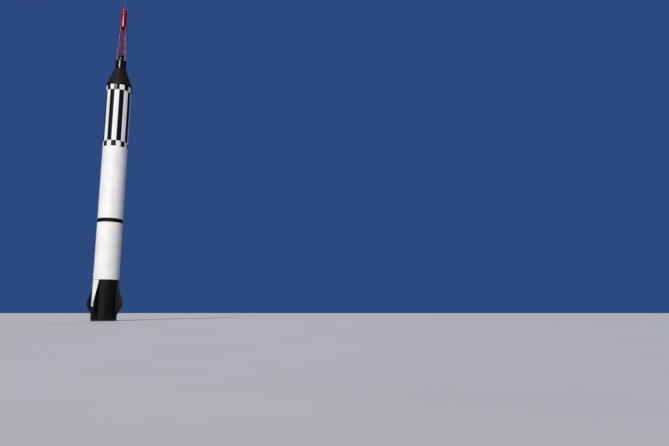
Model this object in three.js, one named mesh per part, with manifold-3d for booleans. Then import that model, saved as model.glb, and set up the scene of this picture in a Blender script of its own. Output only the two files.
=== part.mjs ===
// A crewed single-stage rocket: a finned tail with air rudders and jet vanes, two tank sections,
// an instrument compartment, a cone-shaped capsule and a three-legged escape tower with its motor.
// Millimetres, +Z up, origin at the centre of the base ring's underside. Fins lie on the X and Y axes.
import * as THREE from "three";
import { mergeVertices } from "three/addons/utils/BufferGeometryUtils.js";
import Module from "manifold-3d";

const wasm = await Module();
wasm.setup();

// Driving dimensions of the whole rocket
const FIT_GAP = 0.3; // between pieces that are bolted face to face
const BODY_R = 889; // the booster is 1.778 m in diameter
const ROUND_SIDES = 64; // flats round the booster's skin
const SMALL_SIDES = 32; // flats round pieces about half a metre across

// Heights of the joints up the booster, above the launch stand
const Z = {
  ringTop: 100,
  skirtTop: 2980,
  lowerTankTop: 7210,
  midRingTop: 7510,
  upperTankTop: 13030,
  aftRingTop: 13460,
  compartmentTop: 17530,
  adapterTop: 17980,
  clampTop: 18020,
  coneTop: 19500,
  recoveryTop: 20100,
  towerRingTop: 20150,
  towerTop: 23020,
  motorBottom: 23140,
  motorTop: 24650,
  spikeTip: 25410,
};

// Tail: skirt, engine and what closes its base
const SKIRT_WALL = 20;
const BASE_RING_INNER_R = 610;
const SHIELD = { innerR: 450, low: 460, high: 480 };
const NOZZLE = {
  exitR: 430,
  exitZ: 420,
  throatR: 195,
  throatZ: 1180,
  wall: 12,
  headR: 320,
  headZ: 1420,
};
const ENGINE_BLOCK_R = 430;

// Fin blade, in the plane of the fin: outline corners and thickness at root and tip
const FIN = {
  innerR: 850,
  outerR: 1430,
  leadRootZ: 2930, // leading edge where it meets the body
  leadTipZ: 1300,
  trailRootZ: 150, // trailing edge where it meets the body
  trailTipZ: 1180,
  rootThick: 130,
  tipThick: 44,
  tipTrim: 15, // the fixed fin ends this far inside the rudder's tip
};
const FIN_ANGLES = [0, 90, 180, 270];

// Air rudder in the lower outer corner of each fin, turned by a radial shaft
const RUDDER = {
  innerR: 1115,
  topZ: 1265,
  axisZ: 1080,
  shaftR: 15,
  shaftInnerR: 990,
  gap: 15,
};
const SHAFT_CLEARANCE = 1.5;

// Jet vane under the nozzle's mouth, turned by a radial shaft in the vane ring
const VANE = {
  axisZ: 265,
  innerR: 130,
  outerR: 430,
  innerHalfChord: 100,
  outerHalfChord: 122,
  innerThick: 20,
  outerThick: 34,
  shaftR: 20,
  shaftOuterR: 700,
};
const VANE_RING = {
  innerR: 470,
  outerR: 560,
  low: 170,
  high: 350,
  strutWidth: 100,
  strutHeight: 110,
};

// Capsule, recovery section and antenna housing
const ADAPTER_TOP_R = 925;
const CLAMP_R = 958;
const CLAMP_INNER_R = 800;
const CAPSULE_BASE_R = 946;
const CAPSULE_RIM = 50; // height of the upright rim below the cone
const RECOVERY_R = 405;
const RECOVERY_SHOULDER = 30;
const ANTENNA = { lowR: 240, topR: 190, top: 20670 };
const HATCH = { angle: 105, width: 560, low: 18250, high: 19050 };
const WINDOW = { angle: 45, width: 300, low: 18760, high: 19140 };
const PANEL_GAP = 4;
const PANEL_DEPTH = 30;
const HATCH_PROUD = 6;

// Escape tower: a three-sided welded truss
const TOWER = {
  legAngles: [0, 120, 240],
  footR: 350,
  topR: 205,
  legR: 33,
  ringR: 20,
  braceR: 18,
  levels: [20750, 21330, 21890, 22430, 22940],
  ringInnerR: 296,
  ringOuterR: 418,
};

// Escape motor and its three canted nozzles
const MOTOR = { r: 222, shoulder: 160, capR: 150, plateR: 250 };
const CANT = 24; // degrees outwards from straight down
const ESCAPE_NOZZLE = {
  angles: [60, 180, 300],
  startR: 128,
  startZ: 23110,
  length: 350,
  neckR: 46,
  exitR: 84,
  wall: 8,
};
const SPIKE = { baseR: 75, rodR: 24, tipR: 5, collar: 120 };

// Fittings on the skin
const TUNNEL = { angle: 135, width: 120, height: 70, low: 3150, high: 12900 };
const JUNCTION_BOX = { angle: -75, width: 230, height: 330, depth: 55, middleZ: 17745 };

const PAINT = {
  white: { color: 0xf0f0ec, roughness: 0.45, metalness: 0 },
  black: { color: 0x17181a, roughness: 0.4, metalness: 0 },
  capsule: { color: 0x1a1b1d, roughness: 0.35, metalness: 0.3 },
  red: { color: 0xc2152c, roughness: 0.45, metalness: 0 },
  steel: { color: 0x8d9094, roughness: 0.4, metalness: 0.9 },
  graphite: { color: 0x2f3033, roughness: 0.7, metalness: 0 },
  glass: { color: 0x20262c, roughness: 0.1, metalness: 0 },
};

const rad = THREE.MathUtils.degToRad;

// A solid of revolution about +Z. The profile holds [radius, height] pairs, outside edge upwards.
function turned(profile, sides) {
  const points = profile.map(([r, z]) => new THREE.Vector2(r, z));
  return new THREE.LatheGeometry(points, sides).rotateX(Math.PI / 2);
}

function disc(r, low, high, sides) {
  return turned([[0, low], [r, low], [r, high], [0, high]], sides);
}

function ring(innerR, outerR, low, high, sides) {
  const profile = [[outerR, low], [outerR, high], [innerR, high], [innerR, low], [outerR, low]];
  return turned(profile, sides);
}

// A box from its middle, sizes along X, Y and Z.
function block(x, y, z, sizeX, sizeY, sizeZ) {
  return new THREE.BoxGeometry(sizeX, sizeY, sizeZ).translate(x, y, z);
}

// A straight round bar or cone between two points.
function bar(from, to, r, sides, endR = r) {
  const along = new THREE.Vector3().subVectors(to, from);
  const turn = new THREE.Quaternion().setFromUnitVectors(
    new THREE.Vector3(0, 1, 0),
    along.clone().normalize(),
  );
  const middle = new THREE.Vector3().addVectors(from, to).multiplyScalar(0.5);
  return new THREE.CylinderGeometry(endR, r, along.length(), sides)
    .applyQuaternion(turn)
    .translate(middle.x, middle.y, middle.z);
}

// A closed skin over convex sections that all have the same number of points.
function lofted(sections) {
  const count = sections[0].length;
  const positions = sections.flat().flatMap((p) => [p.x, p.y, p.z]);
  const index = [];
  for (let s = 0; s + 1 < sections.length; s++) {
    for (let i = 0; i < count; i++) {
      const a = s * count + i;
      const b = s * count + ((i + 1) % count);
      index.push(a, b, b + count, a, b + count, a + count);
    }
  }
  const last = (sections.length - 1) * count;
  for (let i = 1; i + 1 < count; i++) {
    index.push(0, i + 1, i);
    index.push(last, last + i, last + i + 1);
  }
  const geometry = new THREE.BufferGeometry();
  geometry.setAttribute("position", new THREE.Float32BufferAttribute(positions, 3));
  geometry.setIndex(index);
  return geometry;
}

function solid(geometry) {
  const bare = geometry.index ? geometry.toNonIndexed() : geometry.clone();
  bare.deleteAttribute("normal");
  bare.deleteAttribute("uv");
  const merged = mergeVertices(bare, 1e-3);
  return new wasm.Manifold(
    new wasm.Mesh({
      numProp: 3,
      vertProperties: merged.attributes.position.array,
      triVerts: new Uint32Array(merged.index.array),
    }),
  );
}

function surface(manifold) {
  const mesh = manifold.getMesh();
  const geometry = new THREE.BufferGeometry();
  geometry.setAttribute("position", new THREE.BufferAttribute(mesh.vertProperties, 3));
  geometry.setIndex(new THREE.BufferAttribute(mesh.triVerts, 1));
  geometry.computeVertexNormals();
  return geometry;
}

function joined(...geometries) {
  return surface(geometries.map(solid).reduce((whole, next) => whole.add(next)));
}

function cut(geometry, ...tools) {
  return surface(tools.map(solid).reduce((rest, tool) => rest.subtract(tool), solid(geometry)));
}

function shared(geometry, other) {
  return surface(solid(geometry).intersect(solid(other)));
}

const rocket = new THREE.Group();

function add(name, geometry, finish, parent = rocket) {
  const mesh = new THREE.Mesh(geometry, new THREE.MeshStandardMaterial(PAINT[finish]));
  mesh.name = name;
  parent.add(mesh);
  return mesh;
}

function turnedGroup(degrees) {
  const group = new THREE.Group();
  group.rotation.z = rad(degrees);
  rocket.add(group);
  return group;
}

// Tail skirt, base ring and engine
function addTail() {
  const skirtInnerR = BODY_R - SKIRT_WALL;
  add("tail_base_ring", ring(BASE_RING_INNER_R, BODY_R, 0, Z.ringTop, ROUND_SIDES), "black");
  add(
    "tail_skirt",
    ring(skirtInnerR, BODY_R, Z.ringTop + FIT_GAP, Z.skirtTop - FIT_GAP, ROUND_SIDES),
    "black",
  );
  const shieldEdge = insideOf(skirtInnerR);
  add("heat_shield", ring(SHIELD.innerR, shieldEdge, SHIELD.low, SHIELD.high, ROUND_SIDES), "steel");
  add("engine_nozzle", nozzleBell(), "steel");
  add(
    "engine_block",
    disc(ENGINE_BLOCK_R, NOZZLE.headZ + FIT_GAP, Z.skirtTop - FIT_GAP, SMALL_SIDES),
    "steel",
  );
}

// The largest radius whose corners stay clear of the flats of a round wall of that radius.
function insideOf(wallR) {
  return wallR * Math.cos(Math.PI / ROUND_SIDES) - FIT_GAP;
}

// The bell opens fast below the throat and runs nearly straight at its mouth.
function nozzleBell() {
  const stations = 8;
  const inner = [];
  for (let i = 0; i <= stations; i++) {
    const down = i / stations;
    const r = NOZZLE.throatR + (NOZZLE.exitR - NOZZLE.throatR) * Math.pow(down, 0.8);
    inner.push([r, NOZZLE.throatZ + (NOZZLE.exitZ - NOZZLE.throatZ) * down]);
  }
  const outer = inner.map(([r, z]) => [r + NOZZLE.wall, z]).reverse();
  const headLow = NOZZLE.headZ - 60;
  const profile = [
    [0, NOZZLE.throatZ + NOZZLE.wall * 2],
    [NOZZLE.throatR, NOZZLE.throatZ + NOZZLE.wall * 2],
    ...inner,
    ...outer,
    [NOZZLE.headR, headLow],
    [NOZZLE.headR, NOZZLE.headZ],
    [0, NOZZLE.headZ],
  ];
  return turned(profile, SMALL_SIDES);
}

// One section across a blade: chord upright in Z at distance r along X, thickness in Y.
function bladeSection(r, low, high, thick) {
  const chord = high - low;
  const stations = [
    // share of the chord down from the leading edge, share of the full thickness
    [0, 0.1],
    [0.4, 1],
    [0.75, 1],
    [1, 0.25],
  ];
  const side = stations.map(([down, share]) => [(share * thick) / 2, high - down * chord]);
  const near = side.map(([y, z]) => new THREE.Vector3(r, -y, z));
  const far = side.map(([y, z]) => new THREE.Vector3(r, y, z)).reverse();
  return [...far, ...near];
}

// Both edges run straight from the body's skin to the tip.
function finSection(r) {
  const { lerp } = THREE.MathUtils;
  const outwards = (r - BODY_R) / (FIN.outerR - BODY_R);
  const share = (r - FIN.innerR) / (FIN.outerR - FIN.innerR);
  return bladeSection(
    r,
    lerp(FIN.trailRootZ, FIN.trailTipZ, outwards),
    lerp(FIN.leadRootZ, FIN.leadTipZ, outwards),
    lerp(FIN.rootThick, FIN.tipThick, share),
  );
}

function radialBar(fromR, toR, z, r) {
  return bar(new THREE.Vector3(fromR, 0, z), new THREE.Vector3(toR, 0, z), r, 24);
}

// The fixed fin and the rudder are cut from one blade, so their faces run flush.
function addFinsAndRudders() {
  const blade = lofted([finSection(FIN.innerR), finSection(FIN.outerR)]);
  const slotEdgeR = RUDDER.innerR - RUDDER.gap;
  const slotTop = RUDDER.topZ + RUDDER.gap;
  const reach = 1000;
  const tipR = FIN.outerR - FIN.tipTrim;
  const pastTip = block(tipR + reach / 2, 0, FIN.leadTipZ, reach, 400, 4000);
  const slot = block(slotEdgeR + reach / 2, 0, slotTop - reach, reach, 400, reach * 2);
  const bore = radialBar(
    RUDDER.shaftInnerR - 20,
    slotEdgeR + 10,
    RUDDER.axisZ,
    RUDDER.shaftR + SHAFT_CLEARANCE,
  );
  const skin = disc(BODY_R + FIT_GAP, 0, 4000, ROUND_SIDES);
  const fin = cut(blade, pastTip, slot, skin, bore);
  const zone = block(RUDDER.innerR + reach / 2, 0, RUDDER.topZ - reach, reach, 400, reach * 2);
  const shaft = radialBar(RUDDER.shaftInnerR, RUDDER.innerR + 60, RUDDER.axisZ, RUDDER.shaftR);
  const rudder = joined(shared(blade, zone), shaft);
  FIN_ANGLES.forEach((angle, i) => {
    const group = turnedGroup(angle);
    add(`fin_${i + 1}`, fin, "black", group);
    add(`air_rudder_${i + 1}`, rudder, "black", group);
  });
}

function vaneSection(r, halfChord, thick) {
  return bladeSection(r, VANE.axisZ - halfChord, VANE.axisZ + halfChord, thick);
}

// The vane ring hangs in the skirt on four struts, each bored for a vane's shaft.
function addVanes() {
  const wallR = insideOf(BODY_R - SKIRT_WALL);
  const strutLength = wallR - VANE_RING.innerR - 20;
  const strut = block(
    wallR - strutLength / 2,
    0,
    VANE.axisZ,
    strutLength,
    VANE_RING.strutWidth,
    VANE_RING.strutHeight,
  );
  const bore = radialBar(
    VANE_RING.innerR - 20,
    VANE.shaftOuterR + 20,
    VANE.axisZ,
    VANE.shaftR + SHAFT_CLEARANCE,
  );
  const hoop = ring(VANE_RING.innerR, VANE_RING.outerR, VANE_RING.low, VANE_RING.high, ROUND_SIDES);
  const turns = FIN_ANGLES.map(rad);
  const struts = turns.map((a) => strut.clone().rotateZ(a));
  const bores = turns.map((a) => bore.clone().rotateZ(a));
  const inSkirt = disc(wallR, 0, 1000, ROUND_SIDES);
  add("jet_vane_ring", cut(shared(joined(hoop, ...struts), inSkirt), ...bores), "steel");

  const blade = lofted([
    vaneSection(VANE.innerR, VANE.innerHalfChord, VANE.innerThick),
    vaneSection(VANE.outerR, VANE.outerHalfChord, VANE.outerThick),
  ]);
  const shaft = radialBar(VANE.outerR - 40, VANE.shaftOuterR, VANE.axisZ, VANE.shaftR);
  const vane = joined(blade, shaft);
  FIN_ANGLES.forEach((angle, i) => add(`jet_vane_${i + 1}`, vane, "graphite", turnedGroup(angle)));
}

// Booster sections stacked face to face
function addBooster() {
  const stack = [
    // node, lower joint, upper joint, radius at the top, finish
    ["lower_tank_section", Z.skirtTop, Z.lowerTankTop, BODY_R, "white"],
    ["tank_joint_ring", Z.lowerTankTop, Z.midRingTop, BODY_R, "black"],
    ["upper_tank_section", Z.midRingTop, Z.upperTankTop, BODY_R, "white"],
    ["aft_section_ring", Z.upperTankTop, Z.aftRingTop, BODY_R, "white"],
    ["instrument_compartment", Z.aftRingTop, Z.compartmentTop, BODY_R, "white"],
    ["capsule_adapter", Z.compartmentTop, Z.adapterTop, ADAPTER_TOP_R, "white"],
  ];
  for (const [name, low, high, topR, finish] of stack) {
    const profile = [[0, low], [BODY_R, low], [topR, high - FIT_GAP], [0, high - FIT_GAP]];
    add(name, turned(profile, ROUND_SIDES), finish);
  }
}

// Cable tunnel and junction box, seated on the round skin
function addSkinFittings() {
  const seat = disc(BODY_R + FIT_GAP, 0, 20000, ROUND_SIDES);
  const tunnel = turnedGroup(TUNNEL.angle);
  const half = TUNNEL.width / 2;
  const outline = new THREE.Shape();
  outline.moveTo(BODY_R - 20, -half);
  outline.lineTo(BODY_R + TUNNEL.height / 2, -half);
  outline.lineTo(BODY_R + TUNNEL.height, -half / 2);
  outline.lineTo(BODY_R + TUNNEL.height, half / 2);
  outline.lineTo(BODY_R + TUNNEL.height / 2, half);
  outline.lineTo(BODY_R - 20, half);
  outline.closePath();
  const length = TUNNEL.high - TUNNEL.low;
  const run = new THREE.ExtrudeGeometry(outline, { depth: length, bevelEnabled: false });
  add("cable_tunnel", cut(run.translate(0, 0, TUNNEL.low), turnedBack(seat, TUNNEL)), "white", tunnel);

  const box = block(
    BODY_R + JUNCTION_BOX.depth / 2,
    0,
    JUNCTION_BOX.middleZ,
    JUNCTION_BOX.depth * 2,
    JUNCTION_BOX.width,
    JUNCTION_BOX.height,
  );
  const adapterSkin = turned(
    [
      [0, Z.compartmentTop],
      [BODY_R + FIT_GAP, Z.compartmentTop],
      [ADAPTER_TOP_R + FIT_GAP, Z.adapterTop],
      [0, Z.adapterTop],
    ],
    ROUND_SIDES,
  );
  const boxGroup = turnedGroup(JUNCTION_BOX.angle);
  add("junction_box", cut(box, turnedBack(adapterSkin, JUNCTION_BOX)), "steel", boxGroup);
}

// A tool in the rocket's frame, as it lies in a fitting's own turned group.
function turnedBack(geometry, fitting) {
  return geometry.clone().rotateZ(-rad(fitting.angle));
}

// Capsule with its bolted side hatch and window
function addCapsule() {
  add("clamp_ring", ring(CLAMP_INNER_R, CLAMP_R, Z.adapterTop, Z.clampTop - FIT_GAP, ROUND_SIDES), "steel");
  const shellOf = (offset) =>
    turned(
      [
        [0, Z.clampTop],
        [CAPSULE_BASE_R + offset, Z.clampTop],
        [CAPSULE_BASE_R + offset, Z.clampTop + CAPSULE_RIM],
        [RECOVERY_R + offset, Z.coneTop],
        [0, Z.coneTop],
      ],
      ROUND_SIDES,
    );
  const panelTool = (panel, grow) => {
    const tall = panel.high - panel.low + grow * 2;
    return block(1000, 0, (panel.high + panel.low) / 2, 2000, panel.width + grow * 2, tall)
      .rotateZ(rad(panel.angle));
  };
  const panelOf = (panel, proud) => {
    const shell = cut(shellOf(proud), shellOf(FIT_GAP - PANEL_DEPTH));
    return shared(shell, panelTool(panel, 0));
  };
  const recessOf = (panel) => shared(
    cut(shellOf(100), shellOf(-PANEL_DEPTH)),
    panelTool(panel, PANEL_GAP),
  );
  add("capsule_cone", cut(shellOf(0), recessOf(HATCH), recessOf(WINDOW)), "capsule");
  add("side_hatch", panelOf(HATCH, HATCH_PROUD), "capsule");
  add("window_pane", panelOf(WINDOW, -HATCH_PROUD), "glass");

  const recoveryLow = Z.coneTop + FIT_GAP;
  add(
    "recovery_section",
    turned(
      [
        [0, recoveryLow],
        [RECOVERY_R, recoveryLow],
        [RECOVERY_R, Z.recoveryTop - RECOVERY_SHOULDER],
        [RECOVERY_R - RECOVERY_SHOULDER, Z.recoveryTop],
        [0, Z.recoveryTop],
      ],
      SMALL_SIDES,
    ),
    "capsule",
  );
  const antennaLow = Z.recoveryTop + FIT_GAP;
  add(
    "antenna_housing",
    turned(
      [
        [0, antennaLow],
        [ANTENNA.lowR, antennaLow],
        [ANTENNA.topR, ANTENNA.top],
        [0, ANTENNA.top],
      ],
      SMALL_SIDES,
    ),
    "capsule",
  );
}

function towerPoint(legAngle, z) {
  const share = (z - Z.towerRingTop) / (Z.towerTop - Z.towerRingTop);
  const r = THREE.MathUtils.lerp(TOWER.footR, TOWER.topR, share);
  return new THREE.Vector3(r * Math.cos(rad(legAngle)), r * Math.sin(rad(legAngle)), z);
}

function towerLeg(angle, r) {
  const past = 60;
  return bar(towerPoint(angle, Z.towerRingTop - past), towerPoint(angle, Z.towerTop + past), r, 12);
}

// The third of the tower's plan between two legs, a little clear of its neighbours.
function towerSector(angle, next) {
  const reach = 1500;
  const outline = new THREE.Shape([
    new THREE.Vector2(0, 0),
    new THREE.Vector2(reach * Math.cos(rad(angle)), reach * Math.sin(rad(angle))),
    new THREE.Vector2(reach * Math.cos(rad(next)), reach * Math.sin(rad(next))),
  ]);
  const height = Z.towerTop - Z.towerRingTop - FIT_GAP;
  const middle = rad(angle + 60);
  return new THREE.ExtrudeGeometry(outline, { depth: height, bevelEnabled: false }).translate(
    FIT_GAP * Math.cos(middle),
    FIT_GAP * Math.sin(middle),
    Z.towerRingTop,
  );
}

// Each frame is one leg welded to the rungs and diagonals of the side next to it.
function addTower() {
  add(
    "tower_base_ring",
    ring(
      TOWER.ringInnerR,
      TOWER.ringOuterR,
      Z.recoveryTop + FIT_GAP,
      Z.towerRingTop - FIT_GAP,
      SMALL_SIDES,
    ),
    "red",
  );
  const height = Z.towerTop - Z.towerRingTop - FIT_GAP;
  const between = block(0, 0, Z.towerRingTop + height / 2, 2000, 2000, height);
  TOWER.legAngles.forEach((angle, i) => {
    const next = angle + 360 / TOWER.legAngles.length;
    const braces = [];
    TOWER.levels.forEach((z, level) => {
      braces.push(bar(towerPoint(angle, z), towerPoint(next, z), TOWER.ringR, 10));
      const above = TOWER.levels[level + 1];
      if (above === undefined) return;
      const rises = level % 2 === 0;
      const start = towerPoint(rises ? angle : next, z);
      const end = towerPoint(rises ? next : angle, above);
      braces.push(bar(start, end, TOWER.braceR, 10));
    });
    const side = shared(joined(...braces), towerSector(angle, next));
    const trimmed = cut(side, towerLeg(next, TOWER.legR + FIT_GAP));
    const leg = shared(towerLeg(angle, TOWER.legR), between);
    add(`tower_frame_${i + 1}`, joined(leg, trimmed), "red");
  });
}

function addEscapeMotor() {
  const plate = disc(MOTOR.plateR, Z.towerTop, Z.motorBottom - FIT_GAP, SMALL_SIDES);
  add("motor_base_plate", plate, "red");
  add(
    "escape_motor",
    turned(
      [
        [0, Z.motorBottom],
        [MOTOR.r, Z.motorBottom],
        [MOTOR.r, Z.motorTop - MOTOR.shoulder],
        [MOTOR.capR, Z.motorTop],
        [0, Z.motorTop],
      ],
      SMALL_SIDES,
    ),
    "red",
  );
  const plateBelow = disc(MOTOR.plateR * 2, Z.towerTop - FIT_GAP, Z.motorBottom, SMALL_SIDES);
  ESCAPE_NOZZLE.angles.forEach((angle, i) => {
    const wall = ESCAPE_NOZZLE.wall;
    const bell = turned(
      [
        [0, 0],
        [ESCAPE_NOZZLE.neckR, 0],
        [ESCAPE_NOZZLE.neckR, -ESCAPE_NOZZLE.length * 0.3],
        [ESCAPE_NOZZLE.exitR, -ESCAPE_NOZZLE.length],
        [ESCAPE_NOZZLE.exitR - wall, -ESCAPE_NOZZLE.length],
        [ESCAPE_NOZZLE.neckR - wall * 2, -ESCAPE_NOZZLE.length * 0.4],
        [0, -ESCAPE_NOZZLE.length * 0.4],
      ].reverse(),
      20,
    );
    const placed = bell
      .rotateY(-rad(CANT))
      .translate(ESCAPE_NOZZLE.startR, 0, ESCAPE_NOZZLE.startZ)
      .rotateZ(rad(angle));
    add(`escape_nozzle_${i + 1}`, cut(placed, plateBelow), "red");
  });
  add(
    "aerospike",
    turned(
      [
        [0, Z.motorTop + FIT_GAP],
        [SPIKE.baseR, Z.motorTop + FIT_GAP],
        [SPIKE.rodR, Z.motorTop + SPIKE.collar],
        [SPIKE.rodR, Z.spikeTip - SPIKE.collar],
        [SPIKE.tipR, Z.spikeTip],
        [0, Z.spikeTip],
      ],
      20,
    ),
    "steel",
  );
}

addTail();
addFinsAndRudders();
addVanes();
addBooster();
addSkinFittings();
addCapsule();
addTower();
addEscapeMotor();

export default rocket;
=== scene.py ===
"""Dresses the frame of a crewed single-stage rocket in its painted skins, seams, fasteners and fittings.

Lengths are metres in the frame's own axes: Z up, the rocket's axis on Z, its four fins on X and Y.
"""

import math

import bpy
from bpy.props import FloatProperty, FloatVectorProperty, IntProperty, PointerProperty
from mathutils import Matrix, Vector


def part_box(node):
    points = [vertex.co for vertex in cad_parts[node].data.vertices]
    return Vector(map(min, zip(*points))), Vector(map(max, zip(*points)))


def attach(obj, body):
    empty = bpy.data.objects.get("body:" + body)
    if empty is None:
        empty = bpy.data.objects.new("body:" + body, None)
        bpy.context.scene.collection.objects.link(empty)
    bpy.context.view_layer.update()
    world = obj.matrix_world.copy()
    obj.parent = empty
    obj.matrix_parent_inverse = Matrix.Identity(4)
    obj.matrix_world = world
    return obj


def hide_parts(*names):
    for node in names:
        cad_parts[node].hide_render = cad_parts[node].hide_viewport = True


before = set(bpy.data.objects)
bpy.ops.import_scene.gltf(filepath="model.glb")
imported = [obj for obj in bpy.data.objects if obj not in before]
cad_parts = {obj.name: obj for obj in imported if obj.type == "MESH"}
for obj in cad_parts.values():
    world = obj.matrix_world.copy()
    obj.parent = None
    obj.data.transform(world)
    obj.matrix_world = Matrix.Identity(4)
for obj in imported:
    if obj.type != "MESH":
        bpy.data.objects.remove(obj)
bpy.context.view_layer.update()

bl_info = {
    "name": "Crewed rocket",
    "version": (1, 0, 0),
    "blender": (4, 5, 0),
    "location": "3D View > Sidebar > Rocket",
    "description": "Builds the skins, fittings and finishes of a crewed single-stage rocket",
    "category": "Add Mesh",
}

TURN = 2 * math.pi
QUARTER = math.pi / 2


# Measures and spacing

def span(node):
    """Lowest and highest height of a node of the frame."""
    low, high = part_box(node)
    return low.z, high.z


def radius_of(node):
    """Radius of a node that is turned about the rocket's axis."""
    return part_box(node)[1].x


def mix(start, end, share):
    return start + (end - start) * share


def share_between(value, start, end):
    return (value - start) / (end - start)


def spaced(start, end, count):
    """Values from start to end with an even step, count steps in all."""
    return [mix(start, end, i / count) for i in range(count + 1)]


def turns(count, start=0.0):
    """Turns that part a full circle evenly."""
    return [start + TURN * i / count for i in range(count)]


def polar(radius, turn, height=0.0):
    """The point at a distance from the axis, a turn about it and a height."""
    return Vector((radius * math.cos(turn), radius * math.sin(turn), height))


def steady(value):
    """A function that gives one value everywhere, as for the radius of an upright skin."""
    return lambda place: value


BODY_R = radius_of("upper_tank_section")
ADAPTER_TOP_R = radius_of("capsule_adapter")
CAPSULE_BASE_R = radius_of("capsule_cone")
RECOVERY_R = radius_of("recovery_section")
MOTOR_R = radius_of("escape_motor")
CONE_LOW, CONE_HIGH = span("capsule_cone")
TOWER_LOW, TOWER_HIGH = span("tower_frame_1")
FIN_TURNS = turns(4)
body_radius = steady(BODY_R)


# Values that a user would change

def linear(code):
    """An sRGB hex colour as linear red, green, blue and alpha."""
    channels = [int(code[i : i + 2], 16) / 255 for i in (1, 3, 5)]
    return tuple(c / 12.92 if c <= 0.04045 else ((c + 0.055) / 1.055) ** 2.4 for c in channels) + (1.0,)


def colour(name, description, code):
    """A colour property with an sRGB hex colour as its default."""
    return FloatVectorProperty(
        name=name, description=description, subtype="COLOR", size=4, min=0, max=1, default=linear(code)
    )


def length(name, description, default):
    """A length property in metres."""
    return FloatProperty(name=name, description=description, default=default, min=0, unit="LENGTH")


def angle(name, description, degrees):
    """An angle property with its default in degrees."""
    return FloatProperty(name=name, description=description, default=math.radians(degrees), subtype="ANGLE")


class RocketSizes(bpy.types.PropertyGroup):
    """Sizes of the seams, fasteners and camera."""

    round_steps: IntProperty(
        name="Steps round the body", description="A multiple of 32, so paint edges fall on it", default=192
    )
    joint_edge: length("Joint edge", "Chamfer where two body sections meet", 0.004)
    strap_width: length("Strap width", "Width of a seam strap round a tank", 0.05)
    strap_proud: length("Strap height", "How far a seam strap stands proud", 0.0025)
    bead_width: length("Weld bead width", "Width of an upright weld bead", 0.012)
    rivet_radius: length("Rivet radius", "Radius of a domed rivet head", 0.0075)
    rivet_pitch: length("Rivet pitch", "Distance between rivets in a row", 0.06)
    bolt_radius: length("Bolt radius", "Radius of a hexagon bolt head", 0.013)
    door_proud: length("Door height", "How far an access door stands proud", 0.004)
    shingle_bead: length("Shingle bead", "Height of the beads pressed into the capsule's shingles", 0.006)
    tail_black_below: length("Black band", "Height below which the whole tail is black", 1.06)
    camera_height: length("Camera height", "Height of the camera above the floor", 0.59)
    lens: FloatProperty(name="Lens", description="Focal length in millimetres", default=29.24, min=1)
    pitch: angle("Camera pitch", "How far the camera looks up", 9.38)
    sun_turn: angle("Light turn", "Where the main light stands, about Z", -87)
    sun_rise: angle("Light rise", "Height of the main light above the horizon", 28)
    sun_power: FloatProperty(name="Main light", description="Strength of the main light", default=3.2)
    back_power: FloatProperty(name="Back light", description="Strength of the light behind", default=0.8)
    sky_power: FloatProperty(name="Sky light", description="Strength of the light all round", default=0.36)


class RocketColours(bpy.types.PropertyGroup):
    """Colours of the finishes, the floor and the backdrop."""

    white: colour("White", "White enamel of the tanks and bands", "#EFEDE8")
    black: colour("Black", "Black enamel of the tail and stripes", "#08080A")
    shingle: colour("Shingle", "Oxidised shingles of the capsule's cone", "#0B0A0A")
    gloss_black: colour("Gloss black", "Glossy coating of the recovery section", "#060607")
    red: colour("Red", "Red enamel of the escape tower and motor", "#7E0820")
    red_gloss: colour("Red gloss", "Gloss of the red enamel in strong light", "#FFA2B0")
    grey: colour("Grey", "Grey enamel of the small fittings", "#6E7276")
    steel: colour("Steel", "Bare stainless steel", "#A9ACB0")
    weathered: colour("Weathered steel", "Dull steel of the spike", "#6A6E72")
    dark_steel: colour("Dark steel", "Heat-darkened steel of the escape nozzles", "#3A3836")
    aluminium: colour("Aluminium", "Bare sheet aluminium inside the tail", "#B4B6B8")
    graphite: colour("Graphite", "Machined graphite of the jet vanes", "#2A2B2E")
    grime: colour("Grime", "Dust and rain marks on the paint", "#8B8578")
    floor: colour("Floor", "Pale studio floor", "#CECCC6")
    backdrop: colour("Backdrop", "Soft light all round", "#4C78CA")


def sizes():
    return bpy.context.scene.rocket_sizes


def colours():
    return bpy.context.scene.rocket_colours


# Finishes

STREAK_WIDTH = 0.05  # rain marks on an upright skin, across and along
STREAK_LENGTH = 2.2
WAVE_WIDTH = 0.55  # slow waves in thin sheet between its frames
PEEL_WIDTH = 0.02  # orange peel is about 1 mm across, and is drawn coarser so that it shows
SPECK_WIDTH = 0.03
PLATE_HEIGHT = 1.22  # sheet is about 1.2 m wide, so plates differ in tone at that height
PLATES_ROUND = 6
SCALE_WIDTH = 0.12  # patches of oxide on the shingles
STAIN_WIDTH = 0.15  # dull patches on bare metal
BRUSH_WIDTH = 0.002
HEAT_DRIFT_WIDTH = 0.2  # how far apart the heat bands wander up and down
SPIN_LINES = (0.05, 0.05, 0.0025)  # tool lines of the spun nozzle, long round it and close together
GRAPHITE_PORE = 0.004
GRAPHITE_CLOUD = 0.05
DUST_WIDTH = 0.04
ASH_WIDTH = 0.02
FLOOR_CLOUD = 2.0
UNTINTED = linear("#FFFFFF")
COAT_ROUGH = 0.12
QUARTZ_IOR = 1.46


def feed(tree, target, inputs):
    """Gives each input of a node a value, or a link from an output."""
    for name, value in inputs.items():
        if isinstance(value, bpy.types.NodeSocket):
            tree.links.new(value, target.inputs[name])
        else:
            target.inputs[name].default_value = value


def node(tree, kind, inputs=None, out=0, **settings):
    """Adds a node, sets its fields, feeds its inputs and returns one of its outputs."""
    made = tree.nodes.new("ShaderNode" + kind)
    for field, value in settings.items():
        setattr(made, field, value)
    feed(tree, made, inputs or {})
    return made.outputs[out]


def new_material(name):
    """A material with its node tree, its shader and the frame's own coordinates."""
    material = bpy.data.materials.new(name)
    material.use_nodes = True
    tree = material.node_tree
    return material, tree, tree.nodes["Principled BSDF"], node(tree, "TexCoord", out="Object")


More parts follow.
